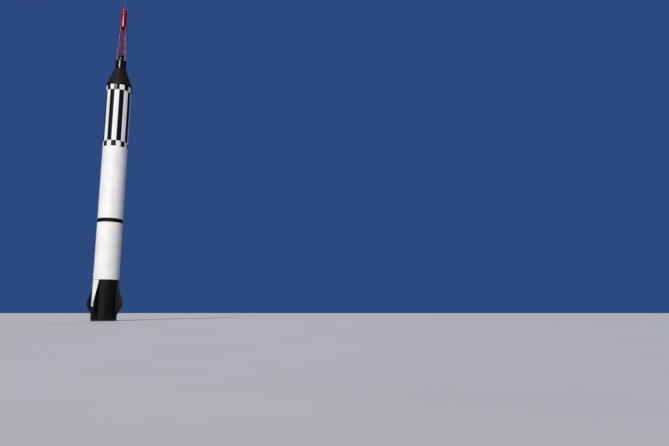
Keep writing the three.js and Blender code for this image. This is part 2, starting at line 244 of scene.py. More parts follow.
def plate_tone(tree, where):
    """A number from 0 to 1 that is the same all over one plate and differs from plate to plate."""
    axes = node(tree, "SeparateXYZ", {0: where}).node.outputs
    turn = node(tree, "Math", {0: axes["Y"], 1: axes["X"]}, operation="ARCTAN2")
    round_at = node(tree, "Math", {0: turn, 1: PLATES_ROUND / TURN}, operation="MULTIPLY")
    course = node(tree, "Math", {0: axes["Z"], 1: PLATE_HEIGHT}, operation="DIVIDE")
    across = node(tree, "Math", {0: round_at}, operation="FLOOR")
    up = node(tree, "Math", {0: course}, operation="FLOOR")
    cell = node(tree, "CombineXYZ", {"X": across, "Y": up})
    return node(tree, "TexWhiteNoise", {"Vector": cell}, out="Value")


def enamel(name, paint, roughness, grime_share, coat=0.0, tone=0.08, shine=0.5, waves=1.0, gloss=UNTINTED):
    """Enamel sprayed on thin sheet metal. It gives the eye an even colour that rain marks and dust break up,
    plates that differ a little in tone, a half gloss that varies, and slow waves in the sheet."""
    material, tree, shader, where = new_material(name)
    long_marks = node(tree, "Mapping", {
        "Vector": where, "Scale": (1 / STREAK_WIDTH, 1 / STREAK_WIDTH, 1 / STREAK_LENGTH),
    })
    streak = node(tree, "TexNoise", {"Vector": long_marks, "Scale": 1.0, "Detail": 4.0})
    cloud = node(tree, "TexNoise", {"Vector": where, "Scale": 1 / WAVE_WIDTH, "Detail": 5.0})
    speck = node(tree, "TexNoise", {"Vector": where, "Scale": 1 / SPECK_WIDTH, "Detail": 3.0})
    marks = node(tree, "Math", {0: streak, 1: cloud}, operation="MULTIPLY")
    dirt = node(tree, "MapRange", {
        "Value": marks, "From Min": 0.24, "From Max": 0.44, "To Max": grime_share,
    })
    toned = node(tree, "MapRange", {"Value": plate_tone(tree, where), "To Min": 1 - tone, "To Max": 1.0})
    shade = node(tree, "VectorMath", {0: paint[:3], "Scale": toned}, operation="SCALE")
    base = node(tree, "Mix", {0: dirt, 6: shade, 7: colours().grime}, out=2, data_type="RGBA")
    rough = node(tree, "MapRange", {
        "Value": speck, "From Min": 0.3, "From Max": 0.7,
        "To Min": roughness - 0.06, "To Max": roughness + 0.1,
    })
    swell = node(tree, "TexNoise", {"Vector": where, "Scale": 1 / WAVE_WIDTH, "Detail": 1.0})
    peel = node(tree, "TexNoise", {"Vector": where, "Scale": 1 / PEEL_WIDTH, "Detail": 2.0})
    sheet = node(tree, "Bump", {"Height": swell, "Strength": waves, "Distance": 0.008})
    skin = node(tree, "Bump", {"Height": peel, "Strength": 0.25, "Distance": 0.0006, "Normal": sheet})
    feed(tree, shader, {
        "Base Color": base, "Roughness": rough, "Normal": skin, "Specular IOR Level": shine,
        "Specular Tint": gloss, "Coat Weight": coat, "Coat Roughness": COAT_ROUGH,
    })
    return material


def oxidised_shingle():
    """Nickel alloy shingles, pressed thin and oxidised in a furnace. They give a dark brown black that
    differs from shingle to shingle, with a dull metal sheen along the beads."""
    material, tree, shader, where = new_material("nickel_shingle_oxidised")
    cloud = node(tree, "TexNoise", {"Vector": where, "Scale": 1 / SCALE_WIDTH, "Detail": 6.0})
    tone = node(tree, "Math", {0: plate_tone(tree, where), 1: cloud}, operation="MULTIPLY")
    share = node(tree, "MapRange", {"Value": tone, "From Max": 0.6})
    base = node(tree, "Mix", {0: share, 6: colours().shingle, 7: linear("#2A2622")}, out=2, data_type="RGBA")
    rough = node(tree, "MapRange", {"Value": cloud, "To Min": 0.32, "To Max": 0.6})
    grain = node(tree, "TexNoise", {"Vector": where, "Scale": 1 / PEEL_WIDTH, "Detail": 4.0})
    bump = node(tree, "Bump", {"Height": grain, "Strength": 0.4, "Distance": 0.0006})
    feed(tree, shader, {
        "Base Color": base, "Roughness": rough, "Normal": bump, "Metallic": 0.2, "Specular IOR Level": 0.2,
    })
    return material


def metal(name, tint, roughness, brushed=(1, 1, 8), stain="#5E5A55", stain_share=0.35):
    """Bare sheet or turned metal. It gives a grey sheen with fine lines along the way it was worked,
    and dull patches where weather has stained it."""
    material, tree, shader, where = new_material(name)
    lines = node(tree, "Mapping", {
        "Vector": where, "Scale": tuple(share / (BRUSH_WIDTH * 8) for share in brushed),
    })
    grain = node(tree, "TexNoise", {"Vector": lines, "Scale": 1.0, "Detail": 3.0})
    cloud = node(tree, "TexNoise", {"Vector": where, "Scale": 1 / STAIN_WIDTH, "Detail": 6.0})
    dull = node(tree, "MapRange", {"Value": cloud, "From Min": 0.42, "From Max": 0.7, "To Max": stain_share})
    base = node(tree, "Mix", {0: dull, 6: tint, 7: linear(stain)}, out=2, data_type="RGBA")
    worn = node(tree, "Math", {0: grain, 1: dull}, operation="ADD")
    rough = node(tree, "MapRange", {"Value": worn, "To Min": roughness - 0.08, "To Max": roughness + 0.2})
    bump = node(tree, "Bump", {"Height": grain, "Strength": 0.3, "Distance": 0.0005})
    feed(tree, shader, {"Base Color": base, "Roughness": rough, "Normal": bump, "Metallic": 1.0})
    return material


HEAT_TINTS = (
    # share of the nozzle's height, colour: straw, purple and blue above scorched brown
    (0.12, "#8A6B45"), (0.26, "#5E4766"), (0.4, "#4C5F80"), (0.6, "#7F8285"),
)


def heat_tinted_steel():
    """Steel of the nozzle, spun and then fired. Heat leaves straw, purple and blue bands round it."""
    material, tree, shader, where = new_material("steel_spun_heat_tinted")
    low, high = span("engine_nozzle")
    height = node(tree, "SeparateXYZ", {0: where}, out="Z")
    cloud = node(tree, "TexNoise", {"Vector": where, "Scale": 1 / HEAT_DRIFT_WIDTH, "Detail": 4.0})
    share = node(tree, "MapRange", {"Value": height, "From Min": low, "From Max": high})
    drift = node(tree, "MapRange", {"Value": cloud, "To Min": -0.12, "To Max": 0.12})
    band = node(tree, "Math", {0: share, 1: drift}, operation="ADD")
    tints = node(tree, "ValToRGB", {0: band})
    stops = tints.node.color_ramp.elements
    stops[0].color = linear("#4A3F36")
    stops[1].color = linear("#8E8C8A")
    for position, code in HEAT_TINTS:
        stops.new(position).color = linear(code)
    lines = node(tree, "Mapping", {"Vector": where, "Scale": tuple(1 / wide for wide in SPIN_LINES)})
    grain = node(tree, "TexNoise", {"Vector": lines, "Scale": 1.0, "Detail": 2.0})
    rough = node(tree, "MapRange", {"Value": grain, "To Min": 0.28, "To Max": 0.55})
    bump = node(tree, "Bump", {"Height": grain, "Strength": 0.3, "Distance": 0.0006})
    feed(tree, shader, {"Base Color": tints, "Roughness": rough, "Normal": bump, "Metallic": 1.0})
    return material


def machined_graphite():
    """Graphite, machined and then scoured by the jet: dark, dull, with fine pores and tool lines."""
    material, tree, shader, where = new_material("graphite_machined")
    pores = node(tree, "TexVoronoi", {"Vector": where, "Scale": 1 / GRAPHITE_PORE})
    cloud = node(tree, "TexNoise", {"Vector": where, "Scale": 1 / GRAPHITE_CLOUD, "Detail": 6.0})
    base = node(tree, "Mix", {
        0: cloud, 6: colours().graphite, 7: linear("#4B4A49"),
    }, out=2, data_type="RGBA")
    rough = node(tree, "MapRange", {"Value": cloud, "To Min": 0.5, "To Max": 0.8})
    bump = node(tree, "Bump", {"Height": pores, "Strength": 0.4, "Distance": 0.0005})
    feed(tree, shader, {"Base Color": base, "Roughness": rough, "Normal": bump})
    return material


def quartz_glass():
    """Outer pane of quartz glass over a dark cabin: nearly black, a painted shade of the unlit cabin behind
    it, with a sharp reflection and some dust.
    """
    material, tree, shader, where = new_material("quartz_glass_polished")
    dust = node(tree, "TexNoise", {"Vector": where, "Scale": 1 / DUST_WIDTH, "Detail": 8.0})
    share = node(tree, "MapRange", {"Value": dust, "From Min": 0.5, "From Max": 0.9, "To Max": 0.3})
    # the near-black colour is painted shade, standing for the unlit cabin seen through the glass; the grey
    # is dust
    base = node(tree, "Mix", {0: share, 6: linear("#0B0E12"), 7: linear("#5C6064")}, out=2, data_type="RGBA")
    rough = node(tree, "MapRange", {"Value": dust, "To Min": 0.02, "To Max": 0.14})
    feed(tree, shader, {"Base Color": base, "Roughness": rough, "IOR": QUARTZ_IOR, "Coat Weight": 1.0})
    return material


def soot():
    """Burnt lining of an escape nozzle: dull black with grey ash, rough to the eye."""
    material, tree, shader, where = new_material("steel_lining_sooted")
    ash = node(tree, "TexNoise", {"Vector": where, "Scale": 1 / ASH_WIDTH, "Detail": 5.0})
    base = node(tree, "Mix", {0: ash, 6: linear("#050505"), 7: linear("#2B2826")}, out=2, data_type="RGBA")
    bump = node(tree, "Bump", {"Height": ash, "Strength": 0.5, "Distance": 0.001})
    feed(tree, shader, {"Base Color": base, "Normal": bump, "Roughness": 0.85})
    return material


FINISHES = {
    # bright and nearly dull, so rain marks show on it
    "white": lambda: enamel("white_enamel_sprayed", colours().white, 0.45, 0.2, shine=0.25),
    # dull black that hides dust and shows each plate's tone
    "black": lambda: enamel("black_enamel_sprayed", colours().black, 0.5, 0.02, tone=0.3, shine=0.14),
    # glossy, so that the sun leaves a pink streak on it
    "red": lambda: enamel("red_enamel_sprayed", colours().red, 0.28, 0.03, coat=0.1, tone=0.15, shine=1.0,
                          waves=0.2, gloss=colours().red_gloss),
    # dull and dusty
    "grey": lambda: enamel("grey_enamel_brushed_on", colours().grey, 0.5, 0.15, shine=0.2),
    # glazed black that mirrors the sky faintly
    "gloss": lambda: enamel("black_ceramic_coating_glazed", colours().gloss_black, 0.3, 0.012, coat=0.28,
                            tone=0.4, shine=0.15),
    "shingle": oxidised_shingle,
    # grey with a clear sheen and a few dull patches
    "steel": lambda: metal("stainless_steel_turned", colours().steel, 0.34),
    # dull grey, stained nearly all over
    "weathered": lambda: metal("stainless_steel_weathered", colours().weathered, 0.5, stain_share=0.6),
    # scaled by the fire: brown black with a faint sheen
    "dark_steel": lambda: metal("steel_forged_heat_darkened", colours().dark_steel, 0.42, stain="#1C1A18",
                                stain_share=0.7),
    # pale grey with fine upright lines from the rolls
    "aluminium": lambda: metal("aluminium_sheet_rolled", colours().aluminium, 0.42, brushed=(8, 8, 1)),
    "tinted": heat_tinted_steel,
    "graphite": machined_graphite,
    "glass": quartz_glass,
    "soot": soot,
}
made_finishes = {}


def finish(name):
    """The material of that finish, made once."""
    if name not in made_finishes:
        made_finishes[name] = FINISHES[name]()
    return made_finishes[name]


# Mesh shapes

TINY = 1e-6
NEAR = 0.01  # how far apart two places are taken to find a slope or a direction
SUNK = 0.002  # how far a part that sits on a skin reaches into it
SHARP = math.radians(28)
EDGE = 0.002  # chamfer of a thin plate
PLATE_STEP = 0.06  # a plate bends to its skin about this often
CORNER_STEPS = 4
SIDES = 96  # steps round a part that is smaller than the body


class Form:
    """The points and faces of one piece. Each face has the number of its finish."""

    def __init__(self):
        self.points = []
        self.faces = []
        self.finishes = []

    def put(self, points, faces, paint=0):
        """Adds points and faces. paint is a finish's number, or a function that gives it for a place."""
        start = len(self.points)
        self.points.extend(points)
        for face in faces:
            corners = list(dict.fromkeys(face))
            if len(corners) < 3:
                continue
            self.faces.append([start + i for i in corners])
            if callable(paint):
                middle = sum((points[i] for i in corners), Vector()) / len(corners)
                self.finishes.append(paint(middle))
            else:
                self.finishes.append(paint)

    def piece(self, name, finishes, slot, *nodes, body="rocket", edge=0.0):
        """Makes the object, rides it on its body and hides the nodes of the frame that it stands for. The
        slot is not used.
        """
        mesh = bpy.data.meshes.new(name)
        mesh.from_pydata(self.points, [], self.faces)
        mesh.polygons.foreach_set("material_index", self.finishes)
        for item in finishes:
            mesh.materials.append(finish(item))
        mesh.validate()
        mesh.shade_smooth()
        mesh.set_sharp_from_angle(angle=SHARP)
        made = bpy.data.objects.new(name, mesh)
        bpy.context.scene.collection.objects.link(made)
        if edge:
            bevel = made.modifiers.new("worn_edges", "BEVEL")
            bevel.width = edge
            bevel.segments = 2
            bevel.limit_method = "ANGLE"
            bevel.angle_limit = SHARP
            bevel.harden_normals = True
        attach(made, body)
        if nodes:
            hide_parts(*nodes)


def loft(form, rings, paint=0, place=None):
    """A closed skin over rings that have the same number of points, each wound the same way."""
    count = len(rings[0])
    points = [Vector(p) for ring in rings for p in ring]
    if place:
        points = [place @ p for p in points]
    last = (len(rings) - 1) * count
    faces = []
    for start in range(0, last, count):
        for i in range(count):
            a, b = start + i, start + (i + 1) % count
            faces.append((a, b, b + count, a + count))
    faces.append(tuple(reversed(range(count))))
    faces.append(tuple(range(last, last + count)))
    form.put(points, faces, paint)


def turned(form, profile, sides=SIDES, paint=0, place=None):
    """A solid turned about Z. The profile holds (radius, height), its outside edge upwards, and starts and
    ends on the axis or closes on itself."""
    rows, points = [], []
    for radius, height in profile:
        if radius < TINY:
            rows.append([len(points)] * sides)
            points.append(Vector((0, 0, height)))
        else:
            rows.append(range(len(points), len(points) + sides))
            points += [polar(radius, turn, height) for turn in turns(sides)]
    if place:
        points = [place @ p for p in points]
    pairs = list(zip(rows, rows[1:]))
    if profile[0][0] > TINY:
        pairs.append((rows[-1], rows[0]))
    faces = []
    for low, high in pairs:
        for k in range(sides):
            after = (k + 1) % sides
            faces.append((low[k], low[after], high[after], high[k]))
    form.put(points, faces, paint)


def drum(inner, outer, low, high):
    """The profile of a plain ring or, with no inner radius, of a plain disc."""
    return [(inner, low), (outer, low), (outer, high), (inner, high)]


def facing(point, normal):
    """A place at a point, with its Z axis along the normal."""
    return Matrix.Translation(point) @ normal.to_track_quat("Z", "Y").to_matrix().to_4x4()


def rivet(form, point, normal, radius, paint=0):
    """A domed rivet head."""
    profile = [(0, -SUNK), (radius, -SUNK), (radius, 0), (radius * 0.7, radius * 0.45), (0, radius * 0.6)]
    turned(form, profile, 6, paint, facing(point, normal))


def bolt(form, point, normal, radius, paint=0):
    """A hexagon bolt head on a washer."""
    thick = radius * 0.2
    turned(form, drum(0, radius * 1.35, -SUNK, thick), 12, paint, facing(point, normal))
    head = [(0, thick), (radius, thick), (radius, radius * 0.8), (radius * 0.85, radius), (0, radius)]
    turned(form, head, 6, paint, facing(point, normal))


def on_skin(turn, height, radius_at):
    """Lays (across, up, out) on a turned skin, about the point at this turn and height."""

    def place(across, up, out):
        level = height + up
        here = radius_at(level)
        lean = (radius_at(level - NEAR) - radius_at(level + NEAR)) / (NEAR * 2)
        out_radius = out / math.hypot(1, lean)
        return polar(here + out_radius, turn + math.asin(across / here), level + out_radius * lean)

    return place


def columns(width, height, corner, steps, breaks=()):
    """A rectangle with round corners as columns: (across, half its height there), from left to right."""
    half_width, half_height = width / 2, height / 2
    arc = [
        (half_width - corner * (1 - math.cos(turn)), half_height - corner * (1 - math.sin(turn)))
        for turn in spaced(0, QUARTER, CORNER_STEPS)
    ]
    flat = half_width - corner
    middle = spaced(-flat, flat, steps)[1:-1] + list(breaks)
    left = [(-across, half) for across, half in arc]
    return left + [(across, half_height) for across in sorted(middle)] + arc[::-1]


def plate(form, place, width, height, corner, high, edge=EDGE, low=-SUNK, paint=0, breaks=()):
    """A plate with round corners and a chamfered edge, laid on a surface by place(across, up, out)."""
    steps = max(2, round(width / PLATE_STEP))
    outer = columns(width, height, corner, steps, breaks)
    inner = columns(width - edge * 2, height - edge * 2, max(corner - edge, edge), steps, breaks)
    points = []
    for (across, half), (across_in, half_in) in zip(outer, inner):
        points += [
            place(across, -half, low),
            place(across, -half, high - edge),
            place(across_in, -half_in, high),
            place(across_in, half_in, high),
            place(across, half, high - edge),
            place(across, half, low),
        ]
    last = (len(outer) - 1) * 6
    faces = []
    for start in range(0, last, 6):
        for i in range(6):
            a, b = start + i, start + (i + 1) % 6
            faces.append((a, a + 6, b + 6, b))
    faces += [(0, 1, 4, 5), (1, 2, 3, 4)]
    faces += [(last + 5, last + 4, last + 1, last), (last + 4, last + 3, last + 2, last + 1)]
    form.put(points, faces, paint)


def fasten(form, place, spots, radius, paint=0, head=rivet, high=0.0):
    """Fasteners at (across, up) spots on the surface that place() lays things on."""
    for across, up in spots:
        point = place(across, up, high)
        normal = (place(across, up, high + NEAR) - point).normalized()
        head(form, point, normal, radius, paint)


def column_of(form, place, margin, height, count, radius, paint=0, high=0.0):
    """Rivets in a column up a skin, the first and last a margin from its ends."""
    spots = [(0, up) for up in spaced(margin, height - margin, count)]
    fasten(form, place, spots, radius, paint, high=high)


def fix(form, place, spot, direction, radius, paint=0, head=bolt):
    """One fastener at a spot of a part's own frame, facing a direction of that frame."""
    head(form, place @ Vector(spot), place.to_3x3() @ Vector(direction), radius, paint)


def border(width, height, inset, pitch):
    """Spots along the four sides of a rectangle, just inside its edge."""
    w, h = width / 2 - inset, height / 2 - inset
    across = spaced(-w, w, max(1, round(2 * w / pitch)))
    up = spaced(-h, h, max(1, round(2 * h / pitch)))
    spots = [(x, side * h) for side in (-1, 1) for x in across]
    return spots + [(side * w, y) for side in (-1, 1) for y in up[1:-1]]


def cover(form, place, width, height, corner, high, rivets, seat=None, edge=EDGE, paint=0, breaks=()):
    """A plate riveted along its edge. rivets holds their radius, inset and pitch. seat holds how far the
    strip below it shows, the strip's corner and its height."""
    if seat:
        rim, seat_corner, seat_high = seat
        plate(form, place, width + rim * 2, height + rim * 2, seat_corner, seat_high, paint=paint,
              breaks=breaks)
    plate(form, place, width, height, corner, high, edge, paint=paint, breaks=breaks)
    radius, inset, pitch = rivets
    fasten(form, place, border(width, height, inset, pitch), radius, paint, high=high)


def door(form, place, width, height, paint=0, breaks=()):
    """An access door in a body skin, on its seating strip."""
    proud = sizes().door_proud
    cover(form, place, width, height, 0.05, proud * 1.5, (0.006, 0.025, 0.08), (0.035, 0.085, proud * 0.5),
          paint=paint, breaks=breaks)


def hoop(form, radius_at, height, width, proud, paint=0, steps=None):
    """A flat strap round a turned skin, with chamfered edges."""
    low, high = height - width / 2, height + width / 2
    edge = min(proud, width / 4)
    profile = [
        (radius_at(low) - SUNK, low),
        (radius_at(low + edge) + proud, low + edge),
        (radius_at(high - edge) + proud, high - edge),
        (radius_at(high) - SUNK, high),
    ]
    turned(form, profile, steps or sizes().round_steps, paint)


def strip(form, place, height, section, paint=0):
    """A bar of one section, given as (across, out), that runs up a skin."""
    loft(form, [[place(across, up, out) for across, out in section] for up in (0, height)], paint)


def upright(form, turn, low, high, radius_at, width, proud, paint=0):
    """A bead or strap with sloping sides that runs up a turned skin."""
    section = ((-width / 2, -SUNK), (width / 2, -SUNK), (width / 5, proud), (-width / 5, proud))
    strip(form, on_skin(turn, low, radius_at), high - low, section, paint)


def ring_of(form, count, radius, height, size, paint=0, head=rivet, start=0.0, tilt=0.0):
    """Fasteners evenly spaced round the axis, facing outwards, or up or down by a tilt."""
    for turn in turns(count, start):
        outwards = polar(1, turn)
        normal = outwards * math.cos(tilt) + Vector((0, 0, math.sin(tilt)))
        head(form, outwards * radius + Vector((0, 0, height)), normal, size, paint)


def tube(form, path, radius, sides=16, paint=0):
    """A round bar along a path of points."""
    heading = (path[1] - path[0]).normalized()
    turn = heading.to_track_quat("Z", "Y")
    rings = []
    for i, point in enumerate(path):
        before, after = path[max(i - 1, 0)], path[min(i + 1, len(path) - 1)]
        now = (after - before).normalized()
        turn = heading.rotation_difference(now) @ turn
        heading = now
        rings.append([point + turn @ polar(radius, a) for a in turns(sides)])
    loft(form, rings, paint)


def slab(form, place, size, edge, paint=0):
    """A block with chamfered edges, its middle at the place's origin."""
    x, y, z = (s / 2 for s in size)

    def outline(inset, height):
        a, b = x - inset, y - inset
        return [
            (a, -b + edge, height), (a, b - edge, height), (a - edge, b, height), (-a + edge, b, height),
            (-a, b - edge, height), (-a, -b + edge, height), (-a + edge, -b, height), (a - edge, -b, height),
        ]

    rings = [outline(edge, -z), outline(0, -z + edge), outline(0, z - edge), outline(edge, z)]
    loft(form, rings, paint, place)


def about_axis(turn):
    """Turns a part that was drawn along +X to its place round the rocket's axis."""
    return Matrix.Rotation(turn, 4, "Z")


def station(turn, radius, height, side=0.0):
    """A place off the rocket's axis, with X outwards, Y sideways and Z up."""
    return about_axis(turn) @ Matrix.Translation((radius, side, height))


# Camera, floor and light

CAMERA_PLACE = (23.16, -37.04)
CAMERA_HEADING = (-0.1616, 0.9869)
SENSOR_WIDTH = 36
FAR_CLIP = 3000
FLOOR_RADIUS = 900
LIGHT_TINT = (1.0, 0.97, 0.92)
SUN_ANGLE = math.radians(11)
BACK_TURN = math.radians(200)
BACK_RISE = math.radians(50)
BACK_ANGLE = math.radians(30)


def make_camera():
    """The camera stands near the floor, some 44 m from the rocket, and looks up at it."""
    settings = sizes()
    camera = bpy.data.cameras.new("camera")
    camera.sensor_width = SENSOR_WIDTH
    camera.lens = settings.lens
    camera.clip_end = FAR_CLIP
    holder = bpy.data.objects.new("camera", camera)
    bpy.context.scene.collection.objects.link(holder)
    holder.location = (*CAMERA_PLACE, settings.camera_height)
    level = Vector((*CAMERA_HEADING, 0)).normalized() * math.cos(settings.pitch)
    look = level + Vector((0, 0, math.sin(settings.pitch)))
    holder.rotation_euler = look.to_track_quat("-Z", "Y").to_euler()
    bpy.context.scene.camera = holder


def make_floor():
    """A plain pale floor, floated smooth, with slow clouds in its tone."""
    mesh = bpy.data.meshes.new("floor")
    rim = turns(SIDES)
    mesh.from_pydata([polar(FLOOR_RADIUS, turn) for turn in rim], [], [range(len(rim))])
    floor = bpy.data.objects.new("floor", mesh)
    bpy.context.scene.collection.objects.link(floor)
    material, tree, shader, where = new_material("floor_concrete_floated")
    cloud = node(tree, "TexNoise", {"Vector": where, "Scale": 1 / FLOOR_CLOUD, "Detail": 6.0})
    tone = node(tree, "MapRange", {"Value": cloud, "To Min": 0.92, "To Max": 1.05})
    shade = node(tree, "VectorMath", {0: colours().floor[:3], "Scale": tone}, operation="SCALE")
    feed(tree, shader, {"Base Color": shade, "Roughness": 0.85})
    mesh.materials.append(material)


def make_light():
    """One soft light like the sun's, a weak one from behind, and even light all round."""
    settings = sizes()
    lights = (
        # name, strength, turn, rise, how wide it looks
        ("main_light", settings.sun_power, settings.sun_turn, settings.sun_rise, SUN_ANGLE),
        ("back_light", settings.back_power, settings.sun_turn + BACK_TURN, BACK_RISE, BACK_ANGLE),
    )
    for name, power, turn, rise, wide in lights:
        light = bpy.data.lights.new(name, "SUN")
        light.energy = power
        light.angle = wide
        light.color = LIGHT_TINT
        holder = bpy.data.objects.new(name, light)
        bpy.context.scene.collection.objects.link(holder)
        towards = polar(math.cos(rise), turn, math.sin(rise))
        holder.rotation_euler = towards.to_track_quat("Z", "Y").to_euler()

    world = bpy.data.worlds.new("soft_light")
    world.use_nodes = True
    around = world.node_tree.nodes["Background"]
    around.inputs["Color"].default_value = colours().backdrop
    around.inputs["Strength"].default_value = settings.sky_power
    bpy.context.scene.world = world
    bpy.context.scene.view_settings.view_transform = "Standard"


# Paint layout

WHITE, BLACK, INSIDE = 0, 1, 2
STRIPE = math.radians(22.5)
ADAPTER_STRIP_Z = span("capsule_adapter")[1] - 0.055
SKIRT_WALL = 0.02
SKIRT_TOP = span("tail_skirt")[1]
JOINT_LINE = 0.018  # height of the dark line round the skirt's upper joint


def striped(point):
    """Black stripes centred on every eighth of a turn, as wide as the white ones between."""
    return BLACK if round(math.atan2(point.y, point.x) / STRIPE) % 2 == 0 else WHITE


def counter_striped(point):
    """The stripes changed over, for the short bands above and below, with a black strip under the clamp."""
    if point.z > ADAPTER_STRIP_Z:
        return BLACK
    return WHITE if striped(point) == BLACK else BLACK


def tail_paint(point):
    """Black on one half, white on the other, black all round near the base, bare metal inside.
    A thin dark line runs round the upper joint."""
    if math.hypot(point.x, point.y) < BODY_R - SKIRT_WALL / 2:
        return INSIDE
    if point.x > 0 or point.z < sizes().tail_black_below or point.z > SKIRT_TOP - JOINT_LINE:
        return BLACK
    return WHITE


# Body skins

SHELL_WALL = 0.03
SEAMS_ROUND = 3
SEAM_GAP = 0.03  # how far a bead ends short of the straps above and below it
JOINT_INSET = 0.03  # distance of the rivet row from the end of a body section
ROW_PITCH = 0.12  # distance between the rivets of an upright row
ROW_RIVET = 0.8  # their size beside that of the rivets round the body


def shell(form, node_name, low_r, high_r, paint, wall=SHELL_WALL, breaks=()):
    """A thin turned shell with chamfered ends, as high as its node."""
    low, high = span(node_name)
    edge = sizes().joint_edge
    outside = [(low_r, low + edge), (high_r, high - edge)]
    for height in breaks:
        outside.insert(-1, (mix(low_r, high_r, share_between(height, low, high)), height))
    inside = [(high_r - edge, high), (high_r - wall, high), (low_r - wall, low), (low_r - edge, low)]
    turned(form, outside + inside, sizes().round_steps, paint)


def body_rivets(form, radius, height, paint):
    """One row of rivets round the body."""
    count = round(TURN * BODY_R / sizes().rivet_pitch)
    ring_of(form, count, radius, height, sizes().rivet_radius, paint)


def joint_rivets(form, node_name, radius_at, paint):
    """A row of rivets near each end of a body section."""
    low, high = span(node_name)
    for height in (low + JOINT_INSET, high - JOINT_INSET):
        body_rivets(form, radius_at(height), height, paint)


def stringer_row(form, place, margin, height, paint):
    """The rivets of one stringer, up a skin from the place's origin."""
    count = round((height - margin * 2) / ROW_PITCH)
    column_of(form, place, margin, height, count, sizes().rivet_radius * ROW_RIVET, paint)


def leaning(node_name, top_r):
    """The radius at a height of a skin that runs from the body's radius to another at its top."""
    low, high = span(node_name)
    return lambda height: mix(BODY_R, top_r, share_between(height, low, high))


def port(form, turn, height, radius, paint):
    """A round blanking plate with its ring of bolts, as over a fill, drain or vent opening."""
    place = on_skin(math.radians(turn), height, body_radius)
    plate(form, place, radius * 2, radius * 2, radius * 0.999, 0.01, edge=0.003, low=-0.02, paint=paint)
    plate(form, place, radius, radius, radius * 0.499, 0.022, edge=0.004, low=0, paint=paint)
    spots = [polar(radius * 0.76, a)[:2] for a in turns(10)]
    fasten(form, place, spots, 0.009, paint, head=bolt, high=0.01)


def tank_skin(piece, node_name, courses, ports):
    """A welded tank: plates in courses with straps round the joints and staggered upright beads."""
    form = Form()
    low, high = span(node_name)
    shell(form, node_name, BODY_R, BODY_R, WHITE)
    settings = sizes()
    step = (high - low) / courses
    for course in range(courses):
        bottom = low + course * step
        if course:
            hoop(form, body_radius, bottom, settings.strap_width, settings.strap_proud, WHITE)
        for seam in range(SEAMS_ROUND):
            turn = TURN * (seam + 0.5 * (course % 2)) / SEAMS_ROUND + STRIPE / 2
            upright(form, turn, bottom + SEAM_GAP, bottom + step - SEAM_GAP, body_radius,
                    settings.bead_width, settings.strap_proud, WHITE)
    joint_rivets(form, node_name, body_radius, WHITE)
    for turn, height, radius in ports:
        port(form, turn, height, radius, WHITE)
    form.piece(piece, ("white", "black"), "white_paint", node_name)


def make_joint_band():
    """The black ring between the tanks, with two straps and four small ports."""
    form = Form()
    shell(form, "tank_joint_ring", BODY_R, BODY_R, BLACK)
    joint_rivets(form, "tank_joint_ring", body_radius, BLACK)
    low, high = span("tank_joint_ring")
    for share in (0.35, 0.65):
        hoop(form, body_radius, mix(low, high, share), 0.03, 0.003, BLACK)
    for turn in (60, 165, -70, -160):
        port(form, turn, (low + high) / 2, 0.05, BLACK)
    form.piece("tank_joint_band", ("white", "black"), "black_paint", "tank_joint_ring")


STRINGERS = 16
BAY_MARGIN = 0.06  # height of the first rivet of an upright row above the bay's foot
STRINGER_HALF = 0.022  # half the distance between the two rivet rows of a stringer
BAYS = (
    # node, piece, paint, top radius, heights at which the paint changes
    ("aft_section_ring", "aft_ring_skin", counter_striped, BODY_R, ()),
    ("instrument_compartment", "compartment_skin", striped, BODY_R, ()),
    ("capsule_adapter", "adapter_skin", counter_striped, ADAPTER_TOP_R, (ADAPTER_STRIP_Z,)),
)
COMPARTMENT_DOORS = (
    # turn in degrees, height, width and height of the door
    (-67.5, 14.35, 0.26, 0.36),
    (-90, 16.4, 0.26, 0.36),
    (0, 14.3, 0.26, 0.42),
    (22.5, 15.6, 0.62, 0.72),
    (112.5, 14.35, 0.26, 0.36),
    (180, 16.2, 0.26, 0.42),
    (-157.5, 14.9, 0.62, 0.72),
)


def compartment_fittings(form, low, high):
    """Access doors, wide ones broken where a stripe ends, and two straps."""
    settings = sizes()
    stripe_edge = BODY_R * math.sin(STRIPE / 2)
    for turn, height, width, tall in COMPARTMENT_DOORS:
        place = on_skin(math.radians(turn), height, body_radius)
        breaks = (-stripe_edge, stripe_edge) if width > stripe_edge * 2 else ()
        door(form, place, width, tall, striped, breaks)
    for share in (1 / 3, 2 / 3):
        hoop(form, body_radius, mix(low, high, share), settings.strap_width, settings.strap_proud, striped)


def make_compartment():
    """The riveted bays above the tanks: short bands of changed-over stripes and long stripes between."""
    for node_name, piece, paint, top_r, breaks in BAYS:
        form = Form()
        low, high = span(node_name)
        radius_at = leaning(node_name, top_r)
        shell(form, node_name, BODY_R, top_r, paint, breaks=breaks)
        joint_rivets(form, node_name, radius_at, paint)
        for turn in turns(STRINGERS, STRIPE / 2):
            for side in (-STRINGER_HALF, STRINGER_HALF):
                place = on_skin(turn + side / BODY_R, low, radius_at)
                stringer_row(form, place, BAY_MARGIN, high - low, paint)
        if node_name == "instrument_compartment":
            compartment_fittings(form, low, high)
        form.piece(piece, ("white", "black"), "white_paint", node_name)


# Cable tunnel and junction box

TUNNEL_TURN = math.radians(135)
TUNNEL_HALF = 0.06
TUNNEL_HIGH = 0.07
TUNNEL_TAPER = 0.22
TUNNEL_BAY = 0.975
TUNNEL_STRAP = 0.04
TUNNEL_FOOT = 0.0585  # distance of the riveted flange from the middle
TUNNEL_TOE = 0.062  # distance of a strap's bolted end from the middle
TUNNEL_SHAPE = ((1, 0.55), (0.86, 0.85), (0.6, 1))  # shares of its half width and height, from the side up


def tunnel_section(place, height, share, grow=0.0):
    """The cover's outline at a height, at a share of its full depth."""
    half, out = TUNNEL_HALF * 0.8 + grow, TUNNEL_HIGH * share + grow
    right = [(half, -0.012)] + [(half * wide, out * deep) for wide, deep in TUNNEL_SHAPE]
    outline = [(-half, -0.012)] + right + [(-across, o) for across, o in reversed(right[1:])]
    return [place(across, height, o) for across, o in outline]


